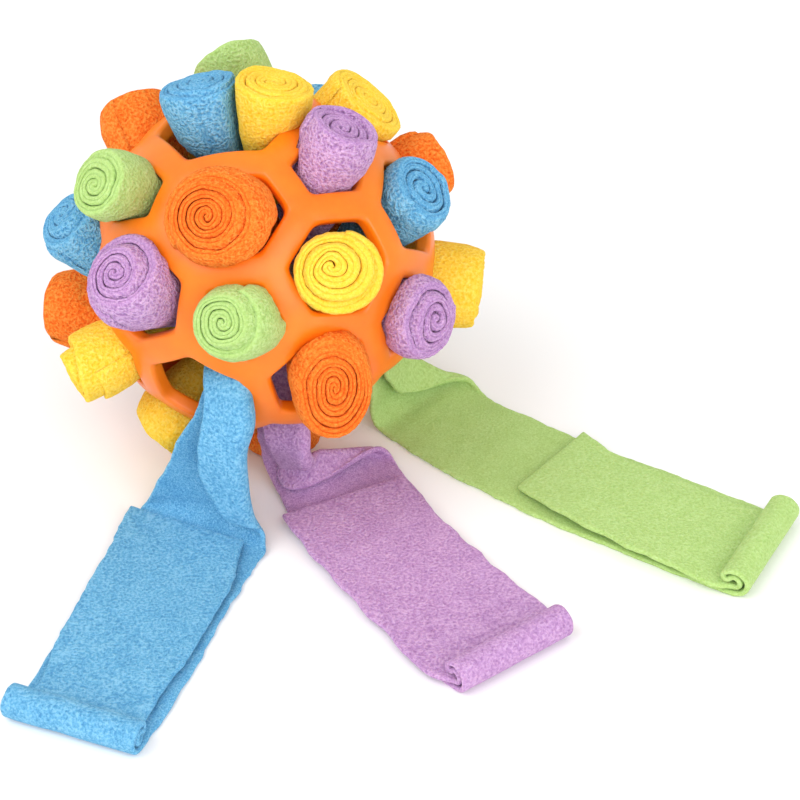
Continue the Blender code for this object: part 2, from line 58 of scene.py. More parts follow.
# %% [markdown]
# ## The camera
# The toy was photographed with a long lens from a raised place in front of it. A long
# lens keeps the far rolls almost as large as the near ones. The camera is made first,
# so that every later step can be looked at in the same view.

# %% Camera
CAMERA_PLACE = CENTRE + np.array((46.6, -741.8, 480.85)) * MM
CAMERA_TILT_DEG = 54
CAMERA_LENS_MM = 117
CAMERA_REACH = 20

camera_data = bpy.data.cameras.new("camera")
camera_data.lens = CAMERA_LENS_MM
camera_data.clip_end = CAMERA_REACH
camera = bpy.data.objects.new("camera", camera_data)
camera.location = CAMERA_PLACE
camera.rotation_euler = (math.radians(CAMERA_TILT_DEG), 0, 0)
bpy.context.collection.objects.link(camera)
bpy.context.scene.camera = camera
bpy.context.scene.view_settings.view_transform = "Standard"
print("camera at", CAMERA_PLACE.round(3))

# %% [markdown]
# ## Helpers for surfaces
# A surface here is a grid of points, rows by columns. A closed ring of columns and caps
# on the first and last row make it a solid skin with no stray faces. Vectors are kept in
# whole arrays, so a helper turns all of them to unit length at once.


# %% Grid helpers
def unit(vectors):
    """Divide each vector by its length."""
    return vectors / np.linalg.norm(vectors, axis=-1, keepdims=True)


def right_and_up(direction):
    """Return the level direction to the right of this one, and the one square to both."""
    right = unit(np.cross((0, 0, 1), direction))
    return right, np.cross(direction, right)


def blend(start, end, share):
    """Return start + (end - start) times share."""
    return start + (end - start) * share


def ring_skin(rows):
    """Return points and faces of a skin over closed rings, with both ends closed.

    Rows is an array (rows, columns, 3). The first half of a ring lies opposite its
    second half, so that a cap joins point i to point columns - 1 - i.
    """
    count, columns, _ = rows.shape
    index = np.arange(count * columns).reshape(count, columns)
    after = np.roll(index, -1, axis=1)
    sides = np.stack([index[:-1], after[:-1], after[1:], index[1:]], axis=-1).reshape(-1, 4)
    near = np.arange(columns // 2 - 1)
    far = columns - 1 - near
    first = np.stack([near, far, far - 1, near + 1], axis=-1)
    last = first[:, ::-1] + (count - 1) * columns
    return rows.reshape(-1, 3), np.concatenate([sides, first, last])


def new_piece(name, points, faces, pile=None):
    """Make one smooth-shaded object of points and faces, with its faces outward.

    Pile says for each point how curly the cloth's nap is there.
    """
    corners = points[faces]
    middle = points.mean(axis=0)
    volume = 0
    for second in range(1, faces.shape[1] - 1):
        cross = np.cross(corners[:, second] - middle, corners[:, second + 1] - middle)
        volume += ((corners[:, 0] - middle) * cross).sum()
    if volume < 0:
        faces = faces[:, ::-1]
    mesh = bpy.data.meshes.new(name)
    mesh.from_pydata(points, [], faces)
    mesh.update()
    mesh.shade_smooth()
    if pile is not None:
        values = mesh.attributes.new("pile", "FLOAT", "POINT").data
        values.foreach_set("value", pile.astype(np.float32).ravel())
    piece = bpy.data.objects.new(name, mesh)
    bpy.context.collection.objects.link(piece)
    return piece


# %% [markdown]
# ## The pattern of the lattice
# The ribs follow the seams of a football: 12 pentagons and 20 hexagons. The pattern
# comes from the 12 corners of an icosahedron. Each corner is the middle of a pentagon,
# and each triangle of neighbouring corners is the middle of a hexagon. One hexagon holds
# two rolls, so the rubber round it is stretched.

# %% Pattern of the holes
STRETCH_SHARE = 0.50
STRETCH_SPREAD_DEG = 34
STRETCHED_HOLE = (5, 6, 10)
BALL_TURN_DEG = (137, -25, 169)


def icosahedron():
    """Return 12 corner directions, from three rectangles of golden proportion."""
    golden = (1 + math.sqrt(5)) / 2
    corners = []
    for short in (-1, 1):
        for long in (-golden, golden):
            corners += [(0, short, long), (short, long, 0), (long, 0, short)]
    turn = np.array(Euler([math.radians(angle) for angle in BALL_TURN_DEG]).to_matrix())
    return unit(np.array(corners) @ turn.T)


CORNERS = icosahedron()


def neighbours(corner):
    """Return the five corners that share an edge with this one."""
    nearness = CORNERS @ CORNERS[corner]
    return [other for other in range(len(CORNERS)) if other != corner and nearness[other] > 0]


def hole_middle(hole):
    """Return the direction of a hole: one corner for a pentagon, three for a hexagon."""
    return unit(CORNERS[list(hole)].sum(axis=0))


def all_holes():
    """Return every hole as a tuple of corners, pentagons first."""
    pentagons = [(corner,) for corner in range(len(CORNERS))]
    hexagons = [(a, b, c) for (a,) in pentagons for b in neighbours(a) for c in neighbours(b)
                if a < b < c and c in neighbours(a)]
    return pentagons + hexagons


def stretched(directions):
    """Push directions away from the stretched hole.

    The angle to it grows by a share that falls off as exp(-(angle / spread) squared).
    """
    middle = hole_middle(STRETCHED_HOLE)
    cosine = np.clip(directions @ middle, -1, 1)
    angle = np.arccos(cosine)
    away = unit(directions - cosine[..., None] * middle)
    wider = angle * (1 + STRETCH_SHARE * np.exp(-((angle / math.radians(STRETCH_SPREAD_DEG)) ** 2)))
    return np.cos(wider)[..., None] * middle + np.sin(wider)[..., None] * away


def junctions(hole):
    """Return the directions of the lattice junctions round a hole, in order.

    A junction lies a third of the way from one corner to the next.
    """
    if len(hole) == 1:
        pairs = [(hole[0], other) for other in neighbours(hole[0])]
    else:
        pairs = [(a, b) for a in hole for b in hole if a != b]
    places = unit(np.array([CORNERS[a] * 2 + CORNERS[b] for a, b in pairs]))
    middle = hole_middle(hole)
    side = unit(np.cross(middle, places[0]))
    order = np.argsort(np.arctan2(places @ side, places @ np.cross(side, middle)))
    return places[order]


HOLES = all_holes()
print(len(HOLES), "holes")

# %% [markdown]
# ## A flat map of each hole
# Round each hole the sphere is laid out flat, like a map: a point keeps its distance and
# its heading from the hole's middle. On the map, the distance from a point to each rib
# is a plain distance to a line. A soft least of these distances has rounded corners, and
# that is how the real mould rounds each hole.

# %% Map and rounded distance
BALL_RADIUS = 0.059
RIB_SAMPLES = 16
TINY = 1e-9


class HoleMap:
    """A flat map round one hole, with the lines of its ribs."""

    def __init__(self, hole):
        """Lay the junctions and the ribs' middle lines out on the map."""
        corners = junctions(hole)
        after = np.roll(corners, -1, axis=0)
        share = (np.arange(RIB_SAMPLES) / RIB_SAMPLES)[None, :, None]
        between = unit(corners[:, None] * (1 - share) + after[:, None] * share)
        self.rib_line = stretched(between).reshape(-1, 3)
        self.middle = unit(stretched(corners).sum(axis=0))
        self.right, self.up = right_and_up(self.middle)
        ends = self.flat(stretched(corners))
        along = unit(np.roll(ends, -1, axis=0) - ends)
        self.inward = np.stack([-along[:, 1], along[:, 0]], axis=-1)
        self.offset = (ends * self.inward).sum(axis=-1)
        if self.offset.mean() > 0:
            self.inward = -self.inward
            self.offset = -self.offset

    def flat(self, directions):
        """Return map places in metres: the angle from the middle times the radius."""
        cosine = np.clip(directions @ self.middle, -1, 1)
        sideways = np.stack([directions @ self.right, directions @ self.up], axis=-1)
        length = np.maximum(np.linalg.norm(sideways, axis=-1), TINY)
        return sideways * (np.arccos(cosine) * BALL_RADIUS / length)[..., None]

    def direction(self, places):
        """Return the direction of a map place."""
        length = np.maximum(np.linalg.norm(places, axis=-1, keepdims=True), TINY)
        angle = length / BALL_RADIUS
        heading = (places[..., :1] * self.right + places[..., 1:] * self.up) / length
        return np.cos(angle) * self.middle + np.sin(angle) * heading

    def depth(self, places, sharpness):
        """Return the soft least distance from the ribs' middle lines.

        It is -ln(sum of exp(-k d)) / k over the distances d to all lines, with k the
        sharpness of the corners.
        """
        apart = places @ self.inward.T - self.offset
        sharpness = np.asarray(sharpness)[..., None]
        return -np.log(np.exp(-sharpness * apart).sum(axis=-1)) / sharpness[..., 0]


MAPS = {hole: HoleMap(hole) for hole in HOLES}
print("map of a stretched hole reaches", np.abs(MAPS[STRETCHED_HOLE].offset).max().round(4), "m")

# %% [markdown]
# ## The rubber lattice
# Each rib is 9.6 mm wide, with a slightly crowned top, a large soft radius along the
# edge of each hole and a straight wall down to the hollow inside. The profile is a list
# of pairs: how far in from the rib's middle line, and how far down from the ball's
# surface. Each hole carries this profile all round, and neighbours meet on the middle
# lines, where equal points are merged.

# %% Rubber lattice
RIB_WIDTH = 0.0096
WALL = 0.0055
CROWN_DROP = 0.0003
EDGE_WIDTH = 0.0014
EDGE_DROP = 0.0016
INNER_EDGE = 0.0009
CROWN_SHARPNESS = 3200
HOLE_SHARPNESS = 900
CROWN_SHARES = (0, 0.3, 0.6, 0.85)
EDGE_STEPS = 8
WALL_SHARES = (0.35, 0.7)
INNER_STEPS = 4
UNDER_SHARES = (0.5, 0)
HALVINGS = 30
MERGE_STEP = 0.01 * MM


def rib_profile():
    """Return rows (in from the middle line, down from the surface, corner sharpness).

    The crown is a shallow parabola, the edge a quarter of an ellipse, the wall straight,
    and the inner edge a quarter of a circle.
    """
    half = RIB_WIDTH / 2
    flat = half - EDGE_WIDTH
    crown = [(flat * share, CROWN_DROP * share ** 2) for share in CROWN_SHARES]
    turn = np.linspace(0, math.pi / 2, EDGE_STEPS)
    edge = [(flat + EDGE_WIDTH * math.sin(a), CROWN_DROP + EDGE_DROP * (1 - math.cos(a))) for a in turn]
    wall = [(half, blend(CROWN_DROP + EDGE_DROP, WALL - INNER_EDGE, share)) for share in WALL_SHARES]
    turn = np.linspace(0, math.pi / 2, INNER_STEPS)
    inner = [(half - INNER_EDGE * (1 - math.cos(a)), WALL - INNER_EDGE * (1 - math.sin(a))) for a in turn]
    under = [(half * share, WALL) for share in UNDER_SHARES]
    rows = np.array(crown + edge + wall + inner + under)
    sharpness = np.interp(rows[:, 0], (0, flat, half), (CROWN_SHARPNESS, CROWN_SHARPNESS, HOLE_SHARPNESS))
    return rows[:, 0], rows[:, 1], sharpness


def rib_ring(hole_map, inset, sharpness):
    """Find the place on each ray from the hole's middle where the depth is the inset.

    The depth falls steadily along a ray, so halving the range again and again finds it.
    """
    outline = hole_map.flat(hole_map.rib_line)
    low = np.zeros((len(inset), len(outline)))
    high = np.ones_like(low)
    for _ in range(HALVINGS):
        share = (low + high) / 2
        places = outline[None] * share[..., None]
        inside = hole_map.depth(places, sharpness[:, None]) > inset[:, None]
        low = np.where(inside, share, low)
        high = np.where(inside, high, share)
    share = np.where(inset[:, None] == 0, 1, low)
    return hole_map.direction(outline[None] * share[..., None])


def lattice():
    """Carry the rib's profile round all holes and merge them along the middle lines."""
    inset, down, sharpness = rib_profile()
    points, faces, base = [], [], 0
    for hole_map in MAPS.values():
        rings = rib_ring(hole_map, inset, sharpness) * (BALL_RADIUS - down)[:, None, None]
        rows, columns, _ = rings.shape
        index = base + np.arange(rows * columns).reshape(rows, columns)
        after = np.roll(index, -1, axis=1)
        quads = np.stack([index[:-1], index[1:], after[1:], after[:-1]], axis=-1)
        points.append(rings.reshape(-1, 3))
        faces.append(quads.reshape(-1, 4))
        base += rows * columns
    points = np.concatenate(points)
    faces = np.concatenate(faces)
    keys = np.round(points / MERGE_STEP).astype(np.int64)
    _, kept, same = np.unique(keys, axis=0, return_index=True, return_inverse=True)
    return points[kept] + CENTRE, same.reshape(-1)[faces]


lattice_points, lattice_faces = lattice()
rubber_ball = new_piece("rubber_lattice", lattice_points, lattice_faces)
print("lattice", len(lattice_points), "points", len(lattice_faces), "faces")

# %% [markdown]
# ## Rolls of fleece
# Each roll is one strip of fleece, folded end to end and wound up from the fold, so its
# end shows a spiral of soft cut edges in pairs. The roll is squeezed where it passes its
# hole and swells again outside. First comes the table of the rolls: their colours and
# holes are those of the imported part, and the rest is how each one was wound.

# %% Table of the rolls
# Colour; the corners round its hole; how far out its end is, in ball radii; its end's radius
# as a share of the hole's room; lean to the right and up in degrees; the share of the lean
# that shows in the hole already; the angle of the strip's outer end in degrees.
ROLL_ROWS = (
    ("orange", (0, 5, 6), 1.23, 1.43, -0.6, -7, 0.1, 40),
    ("yellow", (0, 2, 6), 1.21, 1.05, -6.5, -0.6, 0.25, 200),
    ("green", (0,), 1.23, 1.30, -3.6, 3.2, 0.06, 280),
    ("violet", (0, 5, 7), 1.23, 1.13, 0.9, 7.2, 0.25, 300),
    ("orange", (0, 1, 2), 1.18, 1.08, -0.4, 6.9, 0.25, 80),
    ("green", (5,), 1.27, 1.38, 6.5, -5.2, 0.08, 220),
    ("violet", (6,), 1.22, 1.5, 2.6, -0.8, 0.25, 340),
    ("violet", (2,), 1.22, 1.28, -3.8, 4.1, 0.25, 160),
    ("blue", (2, 4, 6), 1.14, 0.99, -0.8, 2.9, 0.25, 20),
    ("blue", (5, 6, 10), 1.25, 0.71, 2.5, -6, 0.93, 200),
    ("yellow", (5, 6, 10), 1.22, 0.68, -1.9, 14.5, 0.93, 160),
    ("yellow", (4, 6, 10), 1.20, 1.2, -4, -7, 0.25, 190),
    ("orange", (4,), 1.24, 1.26, -1, -1, 0.25, 310),
    ("yellow", (2, 4, 8), 1.33, 1.02, -1, -0.5, 0.25, 60),
    ("blue", (5, 7, 11), 1.26, 1.02, -6, 7.2, 0.25, 140),
    ("yellow", (7,), 1.29, 1.2, -1, 0, 0.25, 270),
    ("orange", (3, 7, 11), 1.37, 1.02, 0.9, 11.3, 0.25, 0),
    ("yellow", (1, 3, 7), 1.21, 1.0, -3, 2, 0.25, 90),
    ("orange", (5, 10, 11), 1.19, 1.16, -8, -3, 0.25, 180),
    ("green", (10,), 1.305, 1.5, 6.0, 2.0, 0.0, 45),
    ("orange", (1, 3, 8), 1.266, 0.95, 0, -6.7, 0.45, 230),
    ("yellow", (3, 8, 9), 1.22, 1.0, 2, 1, 0.25, 10),
    ("green", (4, 8, 9), 1.24, 1.0, -2, 2, 0.25, 130),
    ("green", (3, 9, 11), 1.23, 1.0, 1, -3, 0.25, 260),
    ("blue", (4, 9, 10), 1.22, 1.08, 2, 3, 0.25, 70),
    ("yellow", (9, 10, 11), 1.24, 1.08, -3, -1, 0.25, 330),
    ("blue", (3,), 1.2, 1.2, 1, 1, 0.25, 150),
    ("violet", (9,), 1.23, 1.2, -2, 1, 0.25, 290),
    ("violet", (11,), 1.22, 1.24, 1, 2, 0.25, 110),
)

# How each roll was wound and pushed in, by its colour and hole. Lengths are in mm.
# Taper: how much narrower the end is. Dome: how far the outer wrap lies back. Step: a
# further drop of the wraps beyond a share of the radius, less than nothing where they
# stand proud. Tilt of the end and its way. Oval and its way. Point and its way. Core
# pushed right and up. Rim: the middle of the roll in its hole pushed right and up.
# Loose: how slack the outer wrap is. Gap: the share of a turn that stays open as a groove.
# Within: the distance of the doubled strip's two middles, as a share of its thickness.
PLAIN = {
    "taper": 0.13, "dome": 1.4, "step": 0, "step_at": 0.6, "tilt": 0, "tilt_deg": 0,
    "oval": 0.02, "oval_deg": 30, "point": 0, "point_deg": 0, "core": (0, 0), "rim": (0, 0),
    "loose": 0.35, "gap": 0.12, "within": 0.43,
}
WINDINGS = {
    ("orange", (0, 5, 6)): {
        "taper": 0.25, "dome": 1.6, "oval": 0.04, "oval_deg": 20, "core": (-0.6, 0.4),
        "step": 1.2, "step_at": 0.8, "gap": 0.14, "within": 0.49},
    ("yellow", (0, 2, 6)): {
        "taper": 0.1, "dome": 3.4, "step": 1.8, "step_at": 0.66, "core": (-2.4, 2.2),
        "rim": (0, -1.5), "oval": 0.035, "oval_deg": 0, "gap": 0.05, "within": 0.46},
    ("green", (0,)): {
        "taper": 0.24, "dome": 1.4, "step": 2.6, "step_at": 0.86, "core": (-0.3, 0.3),
        "rim": (1.6, 0), "gap": 0.08},
    ("violet", (0, 5, 7)): {
        "taper": 0.33, "dome": 1.4, "tilt": 0.8, "tilt_deg": 60, "step": 3.4, "step_at": 0.8,
        "oval": 0.03, "oval_deg": 100, "gap": 0.14},
    ("orange", (0, 1, 2)): {
        "taper": 0.14, "dome": 1.8, "point": 0.26, "point_deg": -94, "oval": 0.13,
        "oval_deg": 95, "core": (0.3, -0.5), "rim": (1.5, 1.5), "gap": 0.13, "within": 0.49},
    ("green", (5,)): {
        "taper": 0.08, "dome": 1.8, "oval": 0.08, "oval_deg": 80, "core": (-0.5, -0.2),
        "gap": 0.09},
    ("violet", (6,)): {
        "taper": 0.08, "dome": 1.0, "step": -2.0, "step_at": 0.66, "core": (0.6, 0.3),
        "tilt": 1.4, "gap": 0.16},
    ("violet", (2,)): {
        "taper": 0.14, "dome": 1.0, "step": 2.0, "step_at": 0.62, "oval": 0.05, "oval_deg": 70,
        "core": (0.6, -0.4), "gap": 0.21},
    ("blue", (2, 4, 6)): {
        "taper": 0.12, "dome": 1.0, "step": -1.2, "step_at": 0.8, "tilt": 1.0, "tilt_deg": 168,
        "oval": 0.03, "gap": 0.24},
    ("blue", (5, 6, 10)): {
        "taper": 0.08, "dome": 1.8, "step": 0.6, "step_at": 0.8, "tilt": 3.2, "tilt_deg": 155},
    ("yellow", (5, 6, 10)): {
        "taper": -0.03, "dome": 1.6, "tilt": 2.0, "tilt_deg": 357, "oval": 0.03,
        "core": (-0.6, 0), "gap": 0.08},
    ("yellow", (4, 6, 10)): {
        "taper": 0.08, "dome": 0.8, "tilt": 4.5, "tilt_deg": 131, "core": (0.8, 0.2),
        "gap": 0.08},
    ("orange", (4,)): {"taper": 0.16, "dome": 2.0, "step": 2.4, "step_at": 0.84},
    ("yellow", (2, 4, 8)): {"taper": 0.14, "dome": 1.2, "tilt": 2.4, "tilt_deg": 145, "gap": 0.08},
    ("blue", (5, 7, 11)): {
        "taper": 0.18, "dome": 2.0, "step": 2.4, "step_at": 0.7, "tilt": 5.0, "tilt_deg": 40,
        "oval": 0.05, "oval_deg": 60, "gap": 0.15},
    ("yellow", (7,)): {"taper": 0.02, "dome": 2.4, "step": 4.6, "step_at": 0.72, "gap": 0.08},
    ("orange", (3, 7, 11)): {"taper": 0.24, "dome": 0.5, "tilt": 1.9, "tilt_deg": 216},
    ("yellow", (1, 3, 7)): {"taper": 0.22, "dome": 2.4, "step": 1.6, "step_at": 0.8, "gap": 0.08},
    ("orange", (5, 10, 11)): {"taper": 0.12, "dome": 0.5},
    ("green", (10,)): {"taper": 0, "dome": 0, "tilt": 7.0, "tilt_deg": 225},
    ("orange", (1, 3, 8)): {"taper": 0.02, "dome": 0},
}
print(len(ROLL_ROWS), "rolls in the table,", len(WINDINGS), "wound in their own way")


# %% [markdown]
# ## Where each roll stands
# A roll's middle line leads from the root deep in the ball, past the ribs, to its outer
# end. Its end radius is a share of the room that the ribs leave round the hole's middle.

# %% Middle lines of the rolls
WALL_CLEAR = 0.0002
FLEECE = 0.0018
ROOT_REACH = 0.036
HOLE_GAP = 0.0004
REACH_SAMPLES = 90
REACH_SHARE = 1.3


class Roll:
    """The middle line of one roll, and how wide it is all round at each height."""

    def __init__(self, row):
        """Read one row of the table and lead the middle line."""
        self.colour, self.hole, reach, end_share, right, up, rim_share, self.start_deg = row
        self.wound = {**PLAIN, **WINDINGS.get((self.colour, self.hole), {})}
        self.map = MAPS[self.hole]
        plain = hole_middle(self.hole)
        plain_right, plain_up = right_and_up(plain)
        lean = plain_right * math.tan(math.radians(right)) + plain_up * math.tan(math.radians(up))
        heading = unit(plain + lean)
        rim_heading = unit(blend(self.map.middle, heading, rim_share))
        rim_radius = BALL_RADIUS - WALL / 2
        rim_right, rim_up = [push * MM for push in self.wound["rim"]]
        self.rim = rim_heading * rim_radius + self.map.right * rim_right + self.map.up * rim_up
        self.end = heading * BALL_RADIUS * reach
        self.axis = unit(self.end - self.rim)
        self.side, self.across = right_and_up(self.axis)
        self.height = float(np.linalg.norm(self.end - self.rim))
        self.root_depth = rim_radius - ROOT_REACH
        ring = rib_ring(self.map, np.array([RIB_WIDTH / 2]), np.array([HOLE_SHARPNESS]))[0]
        room = []
        for radius in (BALL_RADIUS - WALL, BALL_RADIUS - CROWN_DROP - EDGE_DROP):
            places = ring * radius
            off = places - (places @ self.map.middle)[:, None] * self.map.middle
            room.append(np.linalg.norm(off, axis=1).min())
        self.end_radius = end_share * min(room)
        self.turns = self.end_radius / (FLEECE * 2)

    def place(self, turn, height, radius):
        """Return points at angles, heights over the rim and distances from the middle line."""
        out = np.cos(turn)[..., None] * self.side + np.sin(turn)[..., None] * self.across
        return self.rim + height[..., None] * self.axis + radius[..., None] * out

    def clear(self, points, partner):
        """Say which points are outside the rubber, and on this side of a partner roll."""
        reach = np.linalg.norm(points, axis=-1)
        places = self.map.flat(unit(points))
        down = BALL_RADIUS - reach
        edge = np.sqrt(np.clip(1 - (1 - np.clip((down - CROWN_DROP) / EDGE_DROP, 0, 1)) ** 2, 0, 1))
        needed = RIB_WIDTH / 2 - EDGE_WIDTH * (1 - edge) + WALL_CLEAR
        outside = (down < -WALL_CLEAR) | (down > WALL + WALL_CLEAR)
        free = outside | (self.map.depth(places, HOLE_SHARPNESS) > needed)
        if partner is not None:
            off = partner.rim - self.rim
            free &= (points - self.rim) @ unit(off) < np.linalg.norm(off) / 2 - HOLE_GAP / 2
        return free

    def room(self, turn, height, partner):
        """Find how far each ray from the middle line goes before it meets the rubber."""
        reach = np.linspace(0, self.end_radius * REACH_SHARE, REACH_SAMPLES)
        grid = np.broadcast_arrays(turn[:, None, None], height[None, :, None], reach[None, None, :])
        free = self.clear(self.place(*grid), partner)
        return reach[np.minimum(free.cumprod(axis=-1).sum(axis=-1), REACH_SAMPLES - 1)]


ROLLS = [Roll(row) for row in ROLL_ROWS]
print("end radii, mm", [round(roll.end_radius / MM, 1) for roll in ROLLS])

# %% [markdown]
# ## How wide a roll is
# Outside the ball a roll is as wide as it was wound, in the hole it is as wide as the
# rubber lets it be, and inside it narrows to a gathered tail on the knot. A soft least
# of the two widths, smoothed round the roll, gives cloth that bulges over the ribs.

# %% Widths of a roll
SOFT_EDGE = 1300
ROOT_SLOPE = 0.29
NECK_LOW = -0.004
NECK_HIGH = 0.003
SWELL_AT_SHARE = 0.3
SWELL_SHARES = (0.96, 1.0, 1.03)
EXTRA_TAPER = 0.03
MOST_TAPER = 1.1
POINT_POWER = 5
LEAST_REACH = 0.012
INSIDE_REACH = 0.050
INSIDE_EASE = 0.010
TIGHT_SHIFTS = (-1, 0, 1)
EVEN_SHIFTS = (-2, -1, 0, 1, 2)


def ease(share):
    """Return 3 s squared minus 2 s cubed of the share, held between 0 and 1."""
    share = np.clip(share, 0, 1)
    return share * share * (3 - 2 * share)


def widths(roll, turn, height, partner):
    """Return the roll's radius for all angles by all heights.

    The soft least of two widths is -ln(exp(-k a) + exp(-k b)) / k, with k the soft edge.
    """
    wound = roll.wound
    swell = np.interp(height, (NECK_LOW, NECK_HIGH, SWELL_AT_SHARE * roll.height), SWELL_SHARES)
    outward = np.clip((height / roll.height - SWELL_AT_SHARE) / (1 - SWELL_AT_SHARE), 0, MOST_TAPER)
    narrow = (wound["taper"] + EXTRA_TAPER) * outward ** 2
    free = (swell - narrow) * roll.end_radius
    oval = wound["oval"] * np.cos(2 * (turn - math.radians(wound["oval_deg"])))
    point = np.clip(np.cos(turn - math.radians(wound["point_deg"])), 0, 1)
    point = wound["point"] * point ** POINT_POWER
    free = free[None] * (1 + oval + point)[:, None]
    room = roll.room(turn, height, partner)
    room = np.minimum.reduce([np.roll(room, shift, axis=0) for shift in TIGHT_SHIFTS])
    room = sum(np.roll(room, shift, axis=0) for shift in EVEN_SHIFTS) / len(EVEN_SHIFTS)
    soft = -np.log(np.exp(-SOFT_EDGE * free) + np.exp(-SOFT_EDGE * room)) / SOFT_EDGE
    reach = roll.rim @ roll.axis + height
    slope = ROOT_SLOPE if partner is None else ROOT_SLOPE / 2
    cone = np.maximum(reach, LEAST_REACH) * slope
    inside = ease((INSIDE_REACH - reach) / INSIDE_EASE)
    return blend(soft, np.minimum(soft, cone[None]), inside[None])


# %% [markdown]
# ## Winding the strip
# The doubled strip is one line in the plane of the roll's end: out along the outer
# layer, round the fold at the centre and back along the inner layer. Its radius grows by
# two layers with each turn. The line is walked at equal steps, and both faces of the
# cloth are set off from it by half a thickness.

# %% Winding
STEP_LENGTH = 0.0009
SPIRAL_SAMPLES = 4000
FOLD_SAMPLES = 38
CORE_TURN = 0.25
LAYER_SHARE = 0.25
SPARE_TURN = 0.1
SETTLE_TURN = 0.6
LAG_TURN = 0.10
THIN_SHARE = 0.45
THIN_LENGTH = 0.5 * FLEECE
WARP = 0.0007
WARP_LENGTH = 0.013
WARP_SEEDS = (2000, 3000)
WARP_WAVES = 8
WAVE_SPREAD = (0.7, 1.5)


def half_turn(count):
    """Return equally spaced angles over a half turn, without its two ends."""
    return np.linspace(0, math.pi, count + 2)[1:-1]


def walked(line):
    """Return how far each point lies along a line of points."""
    return np.concatenate([[0], np.cumsum(np.linalg.norm(np.diff(line, axis=0), axis=1))])


def spiral(roll):
    """Return the winding's middle line, its half thickness off to one side, and shares.

    Between the doubled strip's turns lies one pitch. A share of it stays open as a groove
    and the rest is the pair, whose two layers lie close together. The outer end lies
    flat against the roll and settles within a share of a turn. The fold is carried a
    quarter turn past the core and fills it. Towards both cut ends the cloth thins out.
    """
    turns = roll.turns - CORE_TURN
    pitch = roll.end_radius / (roll.turns + SPARE_TURN)
    pair = pitch * (1 - roll.wound["gap"])
    within = roll.wound["within"]
    loose = roll.wound["loose"]
    half = np.linspace(turns, -CORE_TURN, SPIRAL_SAMPLES)
    left = turns - half
    whole = np.floor(left)
    part = left - whole
    settled = loose + (1 - loose) * ease(part / SETTLE_TURN) + whole - 1
    back = loose * part + np.where(whole > 0, settled, 0)
    outer = roll.end_radius - pitch * (back + LAYER_SHARE)
    inner = outer - pair * within * np.clip(loose + left / SETTLE_TURN, 0, 1)
    start = math.radians(roll.start_deg)
    angle = start + math.tau * half
    heading = np.stack([np.cos(angle), np.sin(angle)], axis=-1)
    fold_turn = half_turn(FOLD_SAMPLES)
    hub, fold_radius = (outer[-1] + inner[-1]) / 2, (outer[-1] - inner[-1]) / 2
    onward = np.array((heading[-1, 1], -heading[-1, 0]))
    fold = (hub + fold_radius * np.cos(fold_turn))[:, None] * heading[-1]
    fold = fold + (fold_radius * np.sin(fold_turn))[:, None] * onward
    line = np.concatenate([heading * outer[:, None], fold, (heading * inner[:, None])[::-1]])
    share = np.concatenate([half, np.zeros(len(fold)), half[::-1]]) / turns
    length = walked(line)
    trim = length[-1] - LAG_TURN * math.tau * roll.end_radius
    wanted = np.linspace(0, trim, int(length[-1] / STEP_LENGTH))
    line = np.stack([np.interp(wanted, length, line[:, axis]) for axis in (0, 1)], axis=-1)
    share = np.clip(np.interp(wanted, length, share), 0, 1)
    forward = unit(np.gradient(line, axis=0))
    normal = np.stack([forward[:, 1], -forward[:, 0]], axis=-1)
    thinner = np.exp(-wanted / THIN_LENGTH), np.exp((wanted - trim) / THIN_LENGTH)
    thin = 1 - THIN_SHARE * thinner[0] - THIN_SHARE * thinner[1]
    return line, normal * (thin * pair * (1 - within) / 2)[:, None], share, float(wanted[-1])


def waves(points, length, seed, count):
    """Return soft noise: the mean of sine waves of about one length in all directions."""
    rng = np.random.default_rng(seed)
    headings = unit(rng.normal(size=(count, 3)))
    rates = math.tau / (length * rng.uniform(*WAVE_SPREAD, count))
    phases = rng.uniform(0, math.tau, count)
    return np.sin(points @ (headings * rates[:, None]).T + phases).mean(axis=-1) * math.sqrt(count / 2)


def warped(flat, roll, seed):
    """Push the winding about in its plane: its core to one side, and all of it unevenly."""
    inward = np.clip(1 - (np.linalg.norm(flat, axis=-1, keepdims=True) / roll.end_radius) ** 2, 0, 1)
    spot = np.concatenate([flat, 0 * flat[..., :1]], axis=-1)
    pushes = [waves(spot, WARP_LENGTH, seed + shift, WARP_WAVES) for shift in WARP_SEEDS]
    return flat + inward * (np.stack(pushes, axis=-1) * WARP + np.array(roll.wound["core"]) * MM)


# %% [markdown]
# ## One roll
# The cloth's section runs up the outer face, over a rounded cut edge and down the inner
# face. Carried along the winding it makes the whole roll. The cut edges don't lie in one
# plane: inner turns stand proud or sink back, and each edge wavers a little.

# %% Roll surface
KNOT_RADIUS = 0.0140
KNOT_CLEAR = 0.0003
FLOOR_EASE = 0.003
TURN_SAMPLES = 72
OUTER_LEVELS = 17
NAP_DEPTH = 0.00014
EDGE_WAVER = 0.00035
EDGE_ROUND = 0.0009
GROOVE_DEPTH = 0.0022
CLOSED_BELOW = 0.0070
WIDE_GAP = 0.14
TAIL_LENGTH = 0.009
ROOT_TOP = -0.007
ROOT_LEVELS = 3
OUTER_LOW = -0.0045
RIM_HALF = 0.003
BEAD_STEPS = 5
DOME_POWER = 2.5
STEP_WIDTH_SHARE = 0.10
MOST_PROUD_MM = 2.5
TURN_SPREAD = 0.02
WAVER_LAYERS = ((0.009, 0, 1), (0.004, 50, 0.3))
WAVER_WAVES = 10
NAP_LAYERS = ((0.0022, 500, 1), (0.0011, 900, 0.6))
NAP_WAVES = 18
# Cut edges curl less, and their tone gets less of the fleece's painted light.
CUT_PILE = 0.45


def layered_waves(points, layers, seed, count):
    """Add waves of several layers: length, how far the seed is shifted, and weight."""
    return sum(weight * waves(points, length, seed + shift, count) for length, shift, weight in layers)


